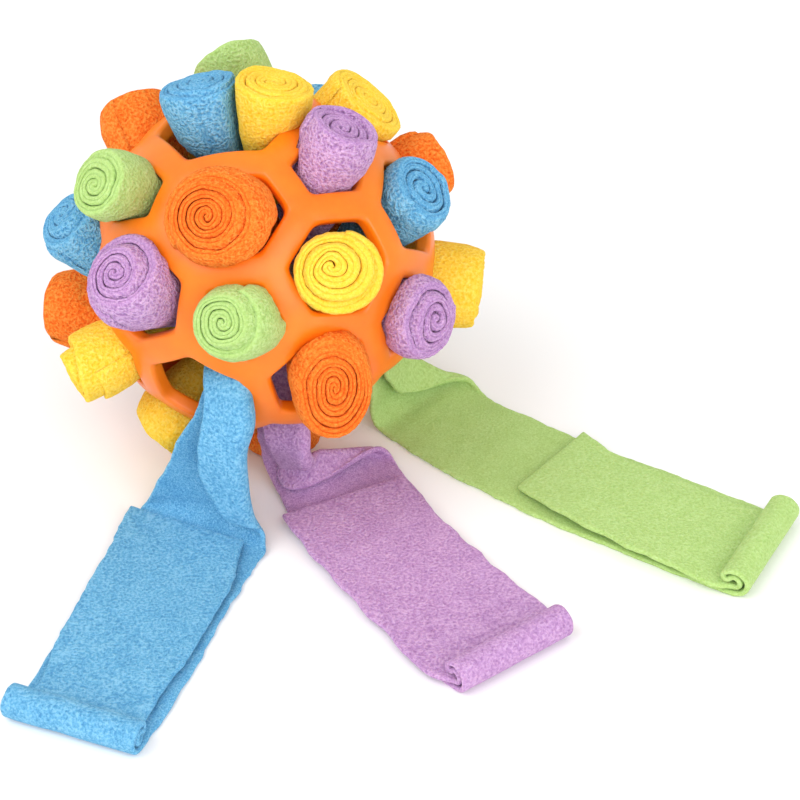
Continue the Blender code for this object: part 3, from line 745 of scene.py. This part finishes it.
def end_drop(roll, flat, share, seed):
    """Return how far the cut edge lies below the roll's end, for each step of the winding."""
    wound = roll.wound
    way = np.array((math.cos(math.radians(wound["tilt_deg"])), math.sin(math.radians(wound["tilt_deg"]))))
    drop = wound["dome"] * share ** DOME_POWER
    drop = drop + wound["step"] * ease((share - wound["step_at"]) / STEP_WIDTH_SHARE + 0.5)
    drop = drop + wound["tilt"] * (1 + flat @ way / roll.end_radius)
    spot = np.concatenate([flat, share[:, None] * TURN_SPREAD], axis=-1)
    waver = layered_waves(spot, WAVER_LAYERS, seed, WAVER_WAVES)
    return np.maximum(drop, -MOST_PROUD_MM) * MM + waver * EDGE_WAVER


def groove_fill(roll, below):
    """Say how much thicker the layers are at depths below their edges.

    At the edge the layers leave the groove open. From the groove's floor down they touch,
    and lower still they have their plain thickness again.
    """
    pair = 1 - roll.wound["gap"]
    within = roll.wound["within"]
    touching = (1 - within * pair) / ((1 - within) * pair)
    depth = GROOVE_DEPTH * min(1, roll.wound["gap"] / WIDE_GAP)
    closed = ease(below / depth) * ease((CLOSED_BELOW + GROOVE_DEPTH - below) / GROOVE_DEPTH)
    return 1 + (touching - 1) * closed


def roll_surface(roll, partner, seed):
    """Return the grid of one roll: steps along the winding by places round its section."""
    line, face, share, length = spiral(roll)
    tail_end = -(roll.rim @ roll.axis) + KNOT_RADIUS + KNOT_CLEAR
    top = roll.height - EDGE_ROUND
    outer_heights = np.concatenate([
        [tail_end, tail_end + TAIL_LENGTH], np.linspace(-roll.root_depth, ROOT_TOP, ROOT_LEVELS),
        np.linspace(OUTER_LOW, top - GROOVE_DEPTH, OUTER_LEVELS), [top - GROOVE_DEPTH / 2, top]])
    inner_heights = np.array([
        top, top - GROOVE_DEPTH, top - CLOSED_BELOW, RIM_HALF, -RIM_HALF, -roll.root_depth, tail_end])
    bead = half_turn(BEAD_STEPS)
    heights = np.concatenate([outer_heights, top + np.sin(bead) * EDGE_ROUND, inner_heights])
    sides = np.concatenate([np.ones(len(outer_heights)), np.cos(bead), -np.ones(len(inner_heights))])
    offset = sides * groove_fill(roll, top - heights)
    angles = np.linspace(0, math.tau, TURN_SAMPLES, endpoint=False)
    wide = widths(roll, angles, heights, partner)
    drop = end_drop(roll, line, share, seed)
    flat = warped(line[:, None] + face[:, None] * offset[None, :, None], roll, seed)
    radius = np.linalg.norm(flat, axis=-1)
    turn = np.arctan2(flat[..., 1], flat[..., 0]) % math.tau
    raised = np.clip((heights - RIM_HALF) / (roll.height - RIM_HALF), 0, 1)
    height = heights[None] - drop[:, None] * raised[None]
    column = turn / math.tau * TURN_SAMPLES
    low = np.floor(column).astype(int) % TURN_SAMPLES
    part = column - np.floor(column)
    order = np.argsort(heights)
    at = np.interp(height, heights[order], np.arange(len(heights)))
    level = np.clip(np.floor(at).astype(int), 0, len(heights) - 2)
    rest = at - level
    sorted_wide = wide[:, order]
    right = (low + 1) % TURN_SAMPLES
    below = blend(sorted_wide[low, level], sorted_wide[right, level], part)
    above = blend(sorted_wide[low, level + 1], sorted_wide[right, level + 1], part)
    scale = blend(below, above, rest) / roll.end_radius
    points = roll.place(turn, height, radius * scale)
    nap = layered_waves(points, NAP_LAYERS, seed, NAP_WAVES)
    out_way = unit(np.cos(turn)[..., None] * roll.side + np.sin(turn)[..., None] * roll.across)
    points = points + out_way * (nap * NAP_DEPTH * sides[None])[..., None]
    pile = np.where(np.abs(sides) == 1, 1.0, CUT_PILE)[None] + np.zeros(points.shape[:2])
    return points, length, pile


def kept_on_floor(points):
    """Let nothing sink into the floor: heights under h become h exp((z - h) / h)."""
    height = points[..., 2]
    low = np.minimum(height, FLOOR_EASE)
    eased = FLOOR_EASE * np.exp((low - FLOOR_EASE) / FLOOR_EASE)
    points[..., 2] = np.where(height < FLOOR_EASE, eased, height)
    return points


counts = {}
rolls_made = []
for number, roll in enumerate(ROLLS):
    counts[roll.colour] = counts.get(roll.colour, 0) + 1
    node = "roll_{}_{}".format(roll.colour, counts[roll.colour])
    partners = [other for other in ROLLS if other is not roll and other.hole == roll.hole]
    grid, length, pile = roll_surface(roll, partners[0] if partners else None, number)
    points, faces = ring_skin(kept_on_floor(grid + CENTRE))
    piece = new_piece("fleece_" + node, points, faces, pile)
    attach(piece, "root")
    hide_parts(node)
    rolls_made.append((piece, roll.colour, length))
print("rolls", len(rolls_made), "faces", sum(len(piece.data.polygons) for piece, _, _ in rolls_made))
print("strip lengths, mm", [round(length / MM) for _, _, length in rolls_made])

# %% [markdown]
# ## Strips on the floor
# Three strips are pulled out of their rolls and lie on the floor. Each leaves its hole
# folded lengthwise, so it is a tube with a loose flap on top. Near the floor the fold
# runs out to the strip's right edge and the flap ends. The strip lies flat from there,
# curls up at its far end and comes back on top of itself to a cut edge. A table of a few
# places along each strip is easier to judge against the real toy than one formula.

# %% Table of the strips
# In the air: left edge; fold; cloth beyond the fold, fold radius, bend in degrees, sag.
# On the floor and on the way back: left edge; right edge. All lengths are in mm, from the
# floor right under the ball's middle.
STRIP_ROWS = (
    ("blue", (
        ((-8.7, -12.6, 66.9), (-2.0, -12.6, 70.9), (8, 0.9, 180, 0)),
        ((-15, -31, 60), (-4, -33, 67), (18, 2.0, 180, 0)),
        ((-17, -47, 56), (-5, -50.5, 61.5), (19, 3.0, 180, 0)),
        ((-19.5, -50.5, 48), (-3.3, -57.5, 51), (23, 3.5, 180, 1)),
        ((-26, -50, 36), (-6.2, -58.5, 39.5), (22.5, 3.5, 180, 2)),
        ((-32.5, -47, 20), (-6, -59, 26), (19, 3.0, 180, 3)),
        ((-37, -45, 9.5), (-5, -59, 15.5), (14, 2.5, 175, 3)),
        ((-40, -43.5, 3), (-3.5, -59, 9.5), (8.5, 2.0, 160, 1.5)),
        ((-42, -46.5, 1.2), (-1.5, -59.5, 4.4), (4, 1.8, 120, 0)),
        ((-43.7, -51, 0.9), (-0.5, -65, 1.4), (1.2, 1.8, 60, 0)),
        ((-45.5, -57, 0.9), (-1.5, -70.5, 0.9), (0.3, 2.0, 20, 0)),
        ((-48, -67, 0.9), (-5, -79, 0.9), (0.1, 2.0, 5, 0))),
     (((-54.5, -87), (-11.3, -99)), ((-62, -111), (-19, -124)), ((-74, -144.5), (-33, -161))),
     (((-71.5, -142.5, 0), (-33, -157, 0)), ((-61, -109, 0.2), (-21, -121.5, 0.2)),
      ((-50, -68, 0.3), (-9.3, -85, 0.3)), ((-44.7, -46.4, 0), (-6.5, -64.9, 0)))),
    ("violet", (
        ((-1.5, -13, 62), (4.5, -13, 64), (8, 0.9, 180, 0)),
        ((0, -26, 42), (11, -27, 46), (16, 1.8, 180, 0)),
        ((-1, -33.5, 26), (14, -38, 31), (19, 2.2, 180, 0)),
        ((-1, -26, 15), (14.5, -37, 21), (18, 2.2, 185, 0)),
        ((1, -26, 6), (16, -31, 13), (19, 2.3, 190, 0)),
        ((9, -44, 0.9), (19.5, -26, 8), (22, 2.6, 190, 0)),
        ((12.5, -52, 0.9), (28, -20, 4), (20, 2.4, 185, 0)),
        ((16, -59, 0.9), (36, -16, 1.8), (10, 2.0, 160, 0)),
        ((19, -65, 0.9), (42, -17.5, 0.9), (3, 2.0, 80, 0)),
        ((22, -71, 0.9), (48, -26, 0.9), (0.5, 2.0, 20, 0)),
        ((26, -78, 0.9), (56, -42, 0.9), (0.1, 2.0, 5, 0))),
     (((33, -90), (68, -64)), ((46, -110), (82.5, -84.5)), ((64, -133.5), (98.5, -106.7))),
     (((60.5, -132, 0), (97.5, -105, 0)), ((43, -110, 0), (81.5, -84, 0.4)),
      ((20.5, -75, 0.4), (62, -56, 0.5)), ((7.3, -51, 0), (47, -30, 0)))),
    ("green", (
        ((10, 1, 63), (10, 6, 66), (8, 0.9, 180, 0)),
        ((26, 5, 46), (25, 14, 49), (16, 1.6, 180, 0)),
        ((36, 6, 31), (36, 18, 35), (20, 2.0, 180, 0)),
        ((37, 3, 16), (46, 22, 20), (22, 2.2, 180, 0)),
        ((37, 3, 6), (54, 25, 11), (20, 2.2, 180, 1)),
        ((40, 1.5, 1.5), (62, 26, 5.5), (14, 2.0, 180, 1)),
        ((46, -4, 0.9), (69, 26, 3), (7, 1.8, 160, 0)),
        ((53, -12, 0.9), (73.5, 23, 1.4), (2.5, 1.8, 80, 0)),
        ((61.5, -20.5, 0.9), (80, 17.5, 0.9), (0.3, 2.0, 10, 0)),
        ((72, -29, 0.9), (90.5, 10.3, 0.9), (0.1, 2.0, 5, 0))),
     (((87, -42), (107, -3)), ((120, -65), (142.5, -26)), ((156, -88), (177, -48.5))),
     (((151.5, -87, 0), (172.5, -49, 0)), ((135.4, -78, 2), (158.5, -43, 0)),
      ((120.4, -68, 2.5), (141.5, -30.5, 0)), ((101.6, -51.5, 2.5), (122, -17, 0)),
      ((88, -35, 0.3), (111.6, -5, 0.5)))),
)
print("strips in the table", [row[0] for row in STRIP_ROWS])


# %% [markdown]
# ## From a table to a route
# A smooth curve through the rows of the table gives a row for each small step. The same
# curve serves places, radii and angles, because each row is just a list of numbers.

# %% Rows along a strip
SECTION_SAMPLES = 60


def smooth_rows(rows, step):
    """Return rows at equal steps on a smooth curve through the given ones.

    The first six numbers of a row are the two edges, and their middle measures the way.
    Between two rows the curve is a cubic whose slopes come from the rows on both sides.
    """
    rows = np.array(rows, float)
    middle = (rows[:, :3] + rows[:, 3:6]) / 2
    way = walked(middle)
    slope = np.gradient(rows, way, axis=0)
    wanted = np.linspace(0, way[-1], int(way[-1] / step) + 2)
    before = np.clip(np.searchsorted(way, wanted, side="right") - 1, 0, len(rows) - 2)
    gap = (way[before + 1] - way[before])[:, None]
    share = (wanted - way[before])[:, None] / gap
    start, end = rows[before], rows[before + 1]
    bent = (slope[before] * (share ** 3 - 2 * share ** 2 + share)
            + slope[before + 1] * (share ** 3 - share ** 2)) * gap
    return blend(start, end, ease(share)) + bent


def flat_rows(first, pairs, step):
    """Return straight sections, edge to edge, along the first row and the given pairs."""
    rows = [np.concatenate([first[0], first[1]])]
    rows += [np.concatenate([left, right]) for left, right in pairs]
    dense = smooth_rows(rows, step)[:, None]
    return blend(dense[..., :3], dense[..., 3:], np.linspace(0, 1, SECTION_SAMPLES)[None, :, None])


# %% [markdown]
# ## The folded part of a strip
# Across the strip, the cloth runs straight from its left edge to the fold, turns over on
# an arc and comes back. Its heading is the arc's angle: nothing before the fold, then the
# length past the fold divided by the radius, up to the full bend.

# %% Folded sections
AIR_STEP = 0.0009
LEAST_FLAP = 0.05 * MM
LEAST_FOLD_RADIUS = 0.5 * MM
MOST_BEND_DEG = 200


def folded_rows(keys):
    """Return the sections in the air, as an array of rows by places across the strip.

    Between its edges the cloth sags by a parabola, 4 s (1 - s) of the table's sag.
    """
    rows = [list(left) + list(fold) + list(rest) for left, fold, rest in keys]
    dense = smooth_rows(np.array(rows) * MM, AIR_STEP)
    left, fold = dense[:, :3], dense[:, 3:6]
    beyond = np.maximum(dense[:, 6], LEAST_FLAP)[:, None]
    radius = np.maximum(dense[:, 7], LEAST_FOLD_RADIUS)[:, None]
    bend = np.radians(np.clip(dense[:, 8] / MM, 0, MOST_BEND_DEG))[:, None]
    sag = np.maximum(dense[:, 9], 0)[:, None]
    across = unit(fold - left)
    way = unit(np.gradient((left + fold) / 2, axis=0))
    way = unit(way - across * (way * across).sum(axis=1, keepdims=True))
    over = np.cross(way, across)
    width = np.linalg.norm(fold - left, axis=1)[:, None]
    place = np.linspace(0, 1, SECTION_SAMPLES)[None] * (width + beyond)
    heading = np.minimum(np.maximum(place - width, 0) / radius, bend)
    step = np.diff(place, axis=1)
    mid = (heading[:, 1:] + heading[:, :-1]) / 2
    right = np.concatenate([0 * width, np.cumsum(step * np.cos(mid), axis=1)], axis=1)
    up = np.concatenate([0 * width, np.cumsum(step * np.sin(mid), axis=1)], axis=1)
    hang = np.clip(place / width, 0, 1)
    up = up - sag * 4 * hang * (1 - hang)
    places = left[:, None] + across[:, None] * right[..., None] + over[:, None] * up[..., None]
    places[..., 2] = np.maximum(places[..., 2], FLEECE / 2)
    return places


# %% [markdown]
# ## The far end and the way back
# At its far end the strip rolls up on a small arc, turns back on itself in a tight tip,
# unrolls along the inside of that arc and lies back on top of the run.

# %% Far end
CURL_RADIUS = 0.0046
LAYER_GAP = 0.0008
CURL_SWEEP_DEG = 235
CURL_STEPS = 30
TIP_SAMPLES = 7


def curled_rows(last, before):
    """Return the curl's sections: outer arc, tip and inner arc, on the last flat row."""
    rise = np.array((0, 0, 1))
    across = unit(last[-1] - last[0])
    heading = unit((last - before).mean(axis=0))
    heading = unit((heading - across * (heading @ across)) * (1, 1, 0))
    pitch = FLEECE + LAYER_GAP
    hub = last[None] + rise * CURL_RADIUS
    angle = (np.linspace(0, math.radians(CURL_SWEEP_DEG), CURL_STEPS)[1:])[:, None, None]
    spoke = heading * np.sin(angle) - rise * np.cos(angle)
    onward = heading * np.cos(angle[-1:]) + rise * np.sin(angle[-1:])
    turn = half_turn(TIP_SAMPLES)[:, None, None]
    tip = hub + spoke[-1:] * (CURL_RADIUS - pitch / 2)
    tip = tip + (spoke[-1:] * np.cos(turn) + onward * np.sin(turn)) * pitch / 2
    return np.concatenate([hub + spoke * CURL_RADIUS, tip, hub + spoke[::-1] * (CURL_RADIUS - pitch)])


# %% [markdown]
# ## Cloth from its middle surface
# Scissors leave a slightly wavy edge and laid cloth never lies quite flat. Then both faces
# are set off by half a thickness, and a half circle rounds each cut edge.

# %% Surface of a strip
FLOOR_STEP = 0.0018
CURL_AIM_ROWS = 4
EDGE_WAVE = 0.00045
LIE_WAVE = 0.00035
END_TURNS_DEG = (25, 50, 75)
# A lower pile also gives that face less of the fleece's painted light.
UPPER_PILE = 0.25
LOWER_PILE = 0.65
EDGE_POWER = 6
SWAY_LAYERS = ((0.013, 0, 1), (0.004, 20, 0.5))
SWAY_WAVES = 9
LIE_LENGTH = 0.020
LIE_SEED = 60
LIE_WAVES = 12
BEAD_COLUMNS = 5
SEAM_COLUMNS = 2
STRIP_SEED = 700


def strip_surface(row, seed):
    """Return the grid of one strip and the length of its middle line."""
    _, keys, run, back = row
    folded = folded_rows(keys)
    run = [[(*left, FLEECE / 2 / MM), (*right, FLEECE / 2 / MM)] for left, right in run]
    laid = flat_rows((folded[-1, 0], folded[-1, -1]), np.array(run) * MM, FLOOR_STEP)[1:]
    curl = curled_rows(laid[-1], laid[-CURL_AIM_ROWS])
    pitch = np.array((0, 0, FLEECE + LAYER_GAP))
    top = laid[-1] + pitch
    back = np.array(back) * MM + pitch + (0, 0, FLEECE / 2)
    back = flat_rows((top[0], top[-1]), back, FLOOR_STEP)[1:]
    middle = np.concatenate([folded, laid, curl, back])
    length = float(walked(middle.mean(axis=1))[-1])
    across = unit(np.gradient(middle, axis=1))
    edge = np.abs(np.linspace(-1, 1, SECTION_SAMPLES)) ** EDGE_POWER
    sway = layered_waves(middle[:, [0, -1]].mean(axis=1), SWAY_LAYERS, seed, SWAY_WAVES)
    middle = middle + across * (sway[:, None] * edge * EDGE_WAVE)[..., None]
    lift = waves(middle * (1, 1, 0), LIE_LENGTH, seed + LIE_SEED, LIE_WAVES)
    middle[..., 2] += np.maximum(lift, 0) * LIE_WAVE
    way = unit(np.gradient(middle, axis=0))
    normal = unit(np.cross(way, across))
    ends = np.radians(END_TURNS_DEG)[:, None, None]
    thick = np.concatenate([np.ones(len(middle)), np.cos(ends[:, 0, 0])])[:, None, None] * FLEECE / 2
    middle = np.concatenate([middle, middle[-1:] + way[-1:] * np.sin(ends) * FLEECE / 2])
    across = np.concatenate([across, np.repeat(across[-1:], len(ends), axis=0)])
    normal = np.concatenate([normal, np.repeat(normal[-1:], len(ends), axis=0)])
    turn = half_turn(BEAD_COLUMNS)[None, :, None]
    right = across[:, -1:] * np.sin(turn) + normal[:, -1:] * np.cos(turn)
    left = -across[:, :1] * np.sin(turn) - normal[:, :1] * np.cos(turn)
    ring = np.concatenate([
        middle + normal * thick, middle[:, -1:] + right * thick,
        (middle - normal * thick)[:, ::-1], middle[:, :1] + left * thick], axis=1)
    ring[..., 2] = np.maximum(ring[..., 2], 0)
    columns = np.repeat((UPPER_PILE, LOWER_PILE), SECTION_SAMPLES + BEAD_COLUMNS)
    pile = np.roll(columns, SEAM_COLUMNS)[None] + np.zeros(ring.shape[:2])
    return np.roll(ring, SEAM_COLUMNS, axis=1) + CENTRE * (1, 1, 0), length, pile


def share_in_rubber(points):
    """Return the share of a strip's points that lie inside the rubber, and those points."""
    from_centre = points - CENTRE
    reach = np.linalg.norm(from_centre, axis=-1)
    shell = (reach > BALL_RADIUS - WALL) & (reach < BALL_RADIUS)
    heading = unit(from_centre[shell])
    depths = [hole_map.depth(hole_map.flat(heading), HOLE_SHARPNESS) for hole_map in MAPS.values()]
    inside = from_centre[shell][np.max(depths, axis=0) < RIB_WIDTH / 2]
    return len(inside) / points[..., 0].size, inside


strips_made = []
for number, row in enumerate(STRIP_ROWS):
    grid, length, pile = strip_surface(row, STRIP_SEED + number)
    points, faces = ring_skin(grid)
    node = "strip_" + row[0]
    piece = new_piece("fleece_" + node, points, faces, pile)
    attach(piece, "root")
    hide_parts(node)
    strips_made.append((piece, row[0], length))
    share, inside = share_in_rubber(grid)
    print(piece.name, round(length / MM), "mm long, share in the rubber", round(share, 4))
    if len(inside):
        inside = (inside + CENTRE * (0, 0, 1)) / MM
        print("  in rubber from", inside.min(axis=0).round(1), "to", inside.max(axis=0).round(1))

# %% [markdown]
# ## The knot
# The inner ends of all strips are sewn into one bundle at the ball's centre. It can just
# be made out through the empty hole, as a lumpy ball of cloth.

# %% Knot
KNOT_ROWS = 40
KNOT_COLUMNS = 64
POLE_ANGLE = 0.02
LUMP_LENGTH = 0.006
LUMP_SHARE = 0.03
MEAN_SHARE = 0.985
KNOT_SEED = 77
KNOT_WAVES = 14


def knot_surface():
    """Return a ball of rows and columns whose radius swells with soft waves."""
    tilt = np.linspace(POLE_ANGLE, math.pi - POLE_ANGLE, KNOT_ROWS)[:, None]
    turn = np.linspace(0, math.tau, KNOT_COLUMNS, endpoint=False)[None]
    heading = np.sin(tilt) * np.cos(turn), np.sin(tilt) * np.sin(turn), np.cos(tilt) + 0 * turn
    heading = np.stack(heading, axis=-1)
    lumps = waves(heading * KNOT_RADIUS, LUMP_LENGTH, KNOT_SEED, KNOT_WAVES)
    radius = KNOT_RADIUS * (MEAN_SHARE + LUMP_SHARE * lumps)
    return CENTRE + heading * radius[..., None]


points, faces = ring_skin(knot_surface())
knot = new_piece("sewn_knot", points, faces, np.ones(len(points)))
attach(knot, "root")
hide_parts("centre_knot")

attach(rubber_ball, "root")
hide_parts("rubber_ball")
print("knot", len(points), "points")

# %% [markdown]
# ## Materials
# A material is a net of nodes: noise in the object's own space, numbers worked out from
# it, and a shader. What is the same all over a surface is set on the shader's own
# sockets. Small helpers add the nodes and link them by the names of their sockets.

# %% Material helpers
DISPLAY_POWER = 2.2


def linear(levels):
    """Turn three display levels of 0 to 255 into linear light, with full alpha."""
    return tuple((level / 255) ** DISPLAY_POWER for level in levels) + (1,)


def set_sockets(node, values):
    """Set a node's own sockets, each by its name or its number."""
    for name, value in values.items():
        node.inputs[name].default_value = value


def new_material(name, values):
    """Make a material and set its shader's sockets."""
    material = bpy.data.materials.new(name)
    material.use_nodes = True
    set_sockets(material.node_tree.nodes["Principled BSDF"], values)
    return material


def add_node(tree, kind, values):
    """Add one node of a kind and set its sockets."""
    node = tree.nodes.new("ShaderNode" + kind)
    set_sockets(node, values)
    return node


def add_math(tree, operation, values):
    """Add a node that works out a number, and set its sockets."""
    node = add_node(tree, "Math", values)
    node.operation = operation
    return node


def add_ramp(tree, stops):
    """Add a colour ramp through stops: the place from 0 to 1 and three display levels."""
    ramp = tree.nodes.new("ShaderNodeValToRGB")
    for place, _ in stops[1:-1]:
        ramp.color_ramp.elements.new(place)
    for element, (place, tone) in zip(ramp.color_ramp.elements, stops):
        element.position = place
        element.color = linear(tone)
    return ramp


def link_all(tree, links):
    """Link nodes: each row is a node, its output, another node and its input."""
    for source, output, target, socket in links:
        tree.links.new(source.outputs[output], target.inputs[socket])


# %% [markdown]
# ## Fleece
# Fleece is a knitted cloth whose surface is brushed into a dense nap. The nap scatters
# light, so it has a soft sheen and no gloss, and it clumps into small curls. One noise
# gives both the height of the curls and their tones: a painted shade in the hollows and
# painted light on the tips, so that colour and relief agree.

# %% Fleece
FLEECE_LOOK = {
    "Roughness": 0.95,
    "Specular IOR Level": 0.1,
    "Sheen Weight": 0.2,
    "Sheen Roughness": 0.5,
    "Subsurface Weight": 0.3,
    "Subsurface Radius": (1.0, 0.8, 0.6),
    "Subsurface Scale": 0.0012,
}
CURLS = {"Scale": 1020, "Detail": 1.6, "Roughness": 0.5, "Distortion": 0.2}
FELT = {"Scale": 1900, "Detail": 2.0, "Roughness": 0.6}
PATCHES = {"Scale": 150, "Detail": 3, "Roughness": 0.55}
# The spread is how far the curls' height must go from its middle to reach the full painted shade or
# painted light.
TONE_SPREAD = 0.26
SPREAD_CUT = 0.10
PATCH_SHARE = 0.2
# SHADE drops the tone a little everywhere. A painted shade that grows with the curl drops it further, and
# painted light lifts it again by the pile, so curly faces come out lighter than cut edges and smooth
# faces.
SHADE = 0.1
CURL_PAINTED_SHADE = 0.045
CURL_PAINTED_LIGHT = 0.10
LEAST_BUMP = 0.3
FELT_BUMP = 0.2
CURL_BUMP = 0.7
BUMP_HEIGHT = 0.0014


def fleece_material(name, hollow_shade_tone, main, tip_light_tone, curl):
    """Make napped fleece from three tones: painted shade in the curls' hollows, the overall tone and
    painted light on their tips.

    Curl is how strongly the nap is clumped: 0 is smooth felt and 1 is full curls. The
    piece's own pile blends from felt to curls and lifts the tone with painted light, so
    that both sides of a cloth differ.
    """
    material = new_material(name, {**FLEECE_LOOK, "Sheen Tint": linear(tip_light_tone)})
    tree = material.node_tree
    shader = tree.nodes["Principled BSDF"]
    place = tree.nodes.new("ShaderNodeTexCoord")
    pile = tree.nodes.new("ShaderNodeAttribute")
    pile.attribute_name = "pile"
    curls = add_node(tree, "TexNoise", CURLS)
    felt = add_node(tree, "TexNoise", FELT)
    patches = add_node(tree, "TexNoise", PATCHES)
    height = add_node(tree, "Mix", {})
    height.data_type = "FLOAT"
    spread = TONE_SPREAD - SPREAD_CUT * curl
    ramp = add_ramp(tree, ((0.5 - spread, hollow_shade_tone), (0.5, main), (0.5 + spread, tip_light_tone)))
    mixed = add_math(tree, "MULTIPLY_ADD", {1: PATCH_SHARE})
    # Painted shade lowers the tone everywhere, and painted light lifts it again where the pile is curly.
    with_painted_shade = add_math(tree, "SUBTRACT", {1: SHADE + CURL_PAINTED_SHADE * curl})
    with_painted_light = add_math(tree, "MULTIPLY_ADD", {1: CURL_PAINTED_LIGHT * curl})
    strength = add_math(tree, "MULTIPLY_ADD", {1: FELT_BUMP + CURL_BUMP * curl, 2: LEAST_BUMP})
    bump = add_node(tree, "Bump", {"Distance": BUMP_HEIGHT})
    link_all(tree, (
        (place, "Object", curls, "Vector"),
        (place, "Object", felt, "Vector"),
        (place, "Object", patches, "Vector"),
        (pile, "Fac", height, "Factor"),
        (felt, "Fac", height, 2),
        (curls, "Fac", height, 3),
        (patches, "Fac", mixed, 0),
        (height, 0, mixed, 2),
        (mixed, 0, with_painted_shade, 0),
        (pile, "Fac", with_painted_light, 0),
        (with_painted_shade, 0, with_painted_light, 2),
        (with_painted_light, 0, ramp, "Fac"),
        (ramp, "Color", shader, "Base Color"),
        (pile, "Fac", strength, 0),
        (strength, 0, bump, "Strength"),
        (height, 0, bump, "Height"),
        (bump, "Normal", shader, "Normal"),
    ))
    return material


# Painted shade in the curls' hollows, the overall tone, painted light on their tips, and how strongly it
# curls
FLEECE_TONES = {
    "orange": ((226, 88, 28), (245, 120, 45), (253, 148, 68), 0.6),
    "yellow": ((236, 181, 40), (247, 202, 70), (253, 217, 100), 0.3),
    "blue": ((76, 139, 186), (102, 167, 207), (134, 192, 224), 1.0),
    "violet": ((157, 114, 166), (184, 142, 190), (208, 169, 210), 1.0),
    "green": ((150, 182, 100), (170, 200, 122), (188, 216, 144), 0.3),
    "knot": ((176, 160, 146), (214, 200, 186), (232, 222, 210), 0.5),
}
fleece = {name: fleece_material("fleece_" + name, *tones) for name, tones in FLEECE_TONES.items()}
for piece, colour, _ in rolls_made + strips_made:
    piece.data.materials.append(fleece[colour])
knot.data.materials.append(fleece["knot"])
print("fleece materials", len(fleece))

# %% [markdown]
# ## Rubber
# Moulded rubber is satin: a broad, soft highlight over a warm colour. Faint clouds vary
# its tone and its gloss, and a fine grain blurs what it mirrors.

# %% Rubber
RUBBER_LOOK = {
    "Specular IOR Level": 0.45,
    "Subsurface Weight": 0.15,
    "Subsurface Radius": (0.004, 0.0015, 0.0005),
    "Subsurface Scale": 1.0,
}
CLOUDS = {"Scale": 45, "Detail": 5, "Roughness": 0.6}
GRAIN = {"Scale": 1400, "Detail": 3, "Roughness": 0.6}
RUBBER_TONES = ((0.3, (238, 112, 16)), (0.7, (247, 131, 26)))
RUBBER_ROUGHNESS = {"To Min": 0.30, "To Max": 0.42}
GRAIN_BUMP = {"Strength": 0.12, "Distance": 0.0002}


def rubber_material():
    """Make satin moulded rubber: warm orange with a faint cloudiness and a fine grain."""
    material = new_material("rubber_orange", RUBBER_LOOK)
    tree = material.node_tree
    shader = tree.nodes["Principled BSDF"]
    place = tree.nodes.new("ShaderNodeTexCoord")
    clouds = add_node(tree, "TexNoise", CLOUDS)
    grain = add_node(tree, "TexNoise", GRAIN)
    ramp = add_ramp(tree, RUBBER_TONES)
    gloss = add_node(tree, "MapRange", RUBBER_ROUGHNESS)
    bump = add_node(tree, "Bump", GRAIN_BUMP)
    link_all(tree, (
        (place, "Object", clouds, "Vector"),
        (place, "Object", grain, "Vector"),
        (clouds, "Fac", ramp, "Fac"),
        (clouds, "Fac", gloss, "Value"),
        (gloss, "Result", shader, "Roughness"),
        (ramp, "Color", shader, "Base Color"),
        (grain, "Fac", bump, "Height"),
        (bump, "Normal", shader, "Normal"),
    ))
    return material


rubber_ball.data.materials.append(rubber_material())
print("rubber material on", rubber_ball.name)

# %% [markdown]
# ## Floor and light
# The toy lies on a plain white floor in an even, soft light from all round, with a large
# soft light above and to the left and a smaller one beside the camera.

# %% Floor and light
FLOOR_SIZE = 6.0
FLOOR_LOOK = {"Base Color": (0.93, 0.93, 0.93, 1), "Roughness": 0.9}
WORLD_LOOK = {"Color": (1, 1, 1, 1), "Strength": 0.84}
LIGHT_AIM = (0, 0, 0.05)

# Name, place, size in metres and power in watts
LIGHTS = (
    ("key", (-1.20, -0.80, 1.70), 2.0, 22.5),
    ("fill", (0.46, -1.22, 0.75), 1.4, 12.5),
)

floor_corners = np.array(((-1, -1, 0), (1, -1, 0), (1, 1, 0), (-1, 1, 0))) * FLOOR_SIZE
floor_mesh = bpy.data.meshes.new("floor")
floor_mesh.from_pydata(floor_corners, [], [(0, 1, 2, 3)])
floor = bpy.data.objects.new("floor", floor_mesh)
bpy.context.collection.objects.link(floor)
floor_mesh.materials.append(new_material("floor", FLOOR_LOOK))

world = bpy.data.worlds.new("studio")
world.use_nodes = True
set_sockets(world.node_tree.nodes["Background"], WORLD_LOOK)
bpy.context.scene.world = world

for name, place, size, power in LIGHTS:
    lamp = bpy.data.lights.new(name, "AREA")
    lamp.shape = "DISK"
    lamp.size = size
    lamp.energy = power
    lamp_object = bpy.data.objects.new(name, lamp)
    lamp_object.location = place
    aim = Vector(LIGHT_AIM) - Vector(place)
    lamp_object.rotation_euler = aim.to_track_quat("-Z", "Y").to_euler()
    bpy.context.collection.objects.link(lamp_object)
print("lights", [name for name, _, _, _ in LIGHTS])
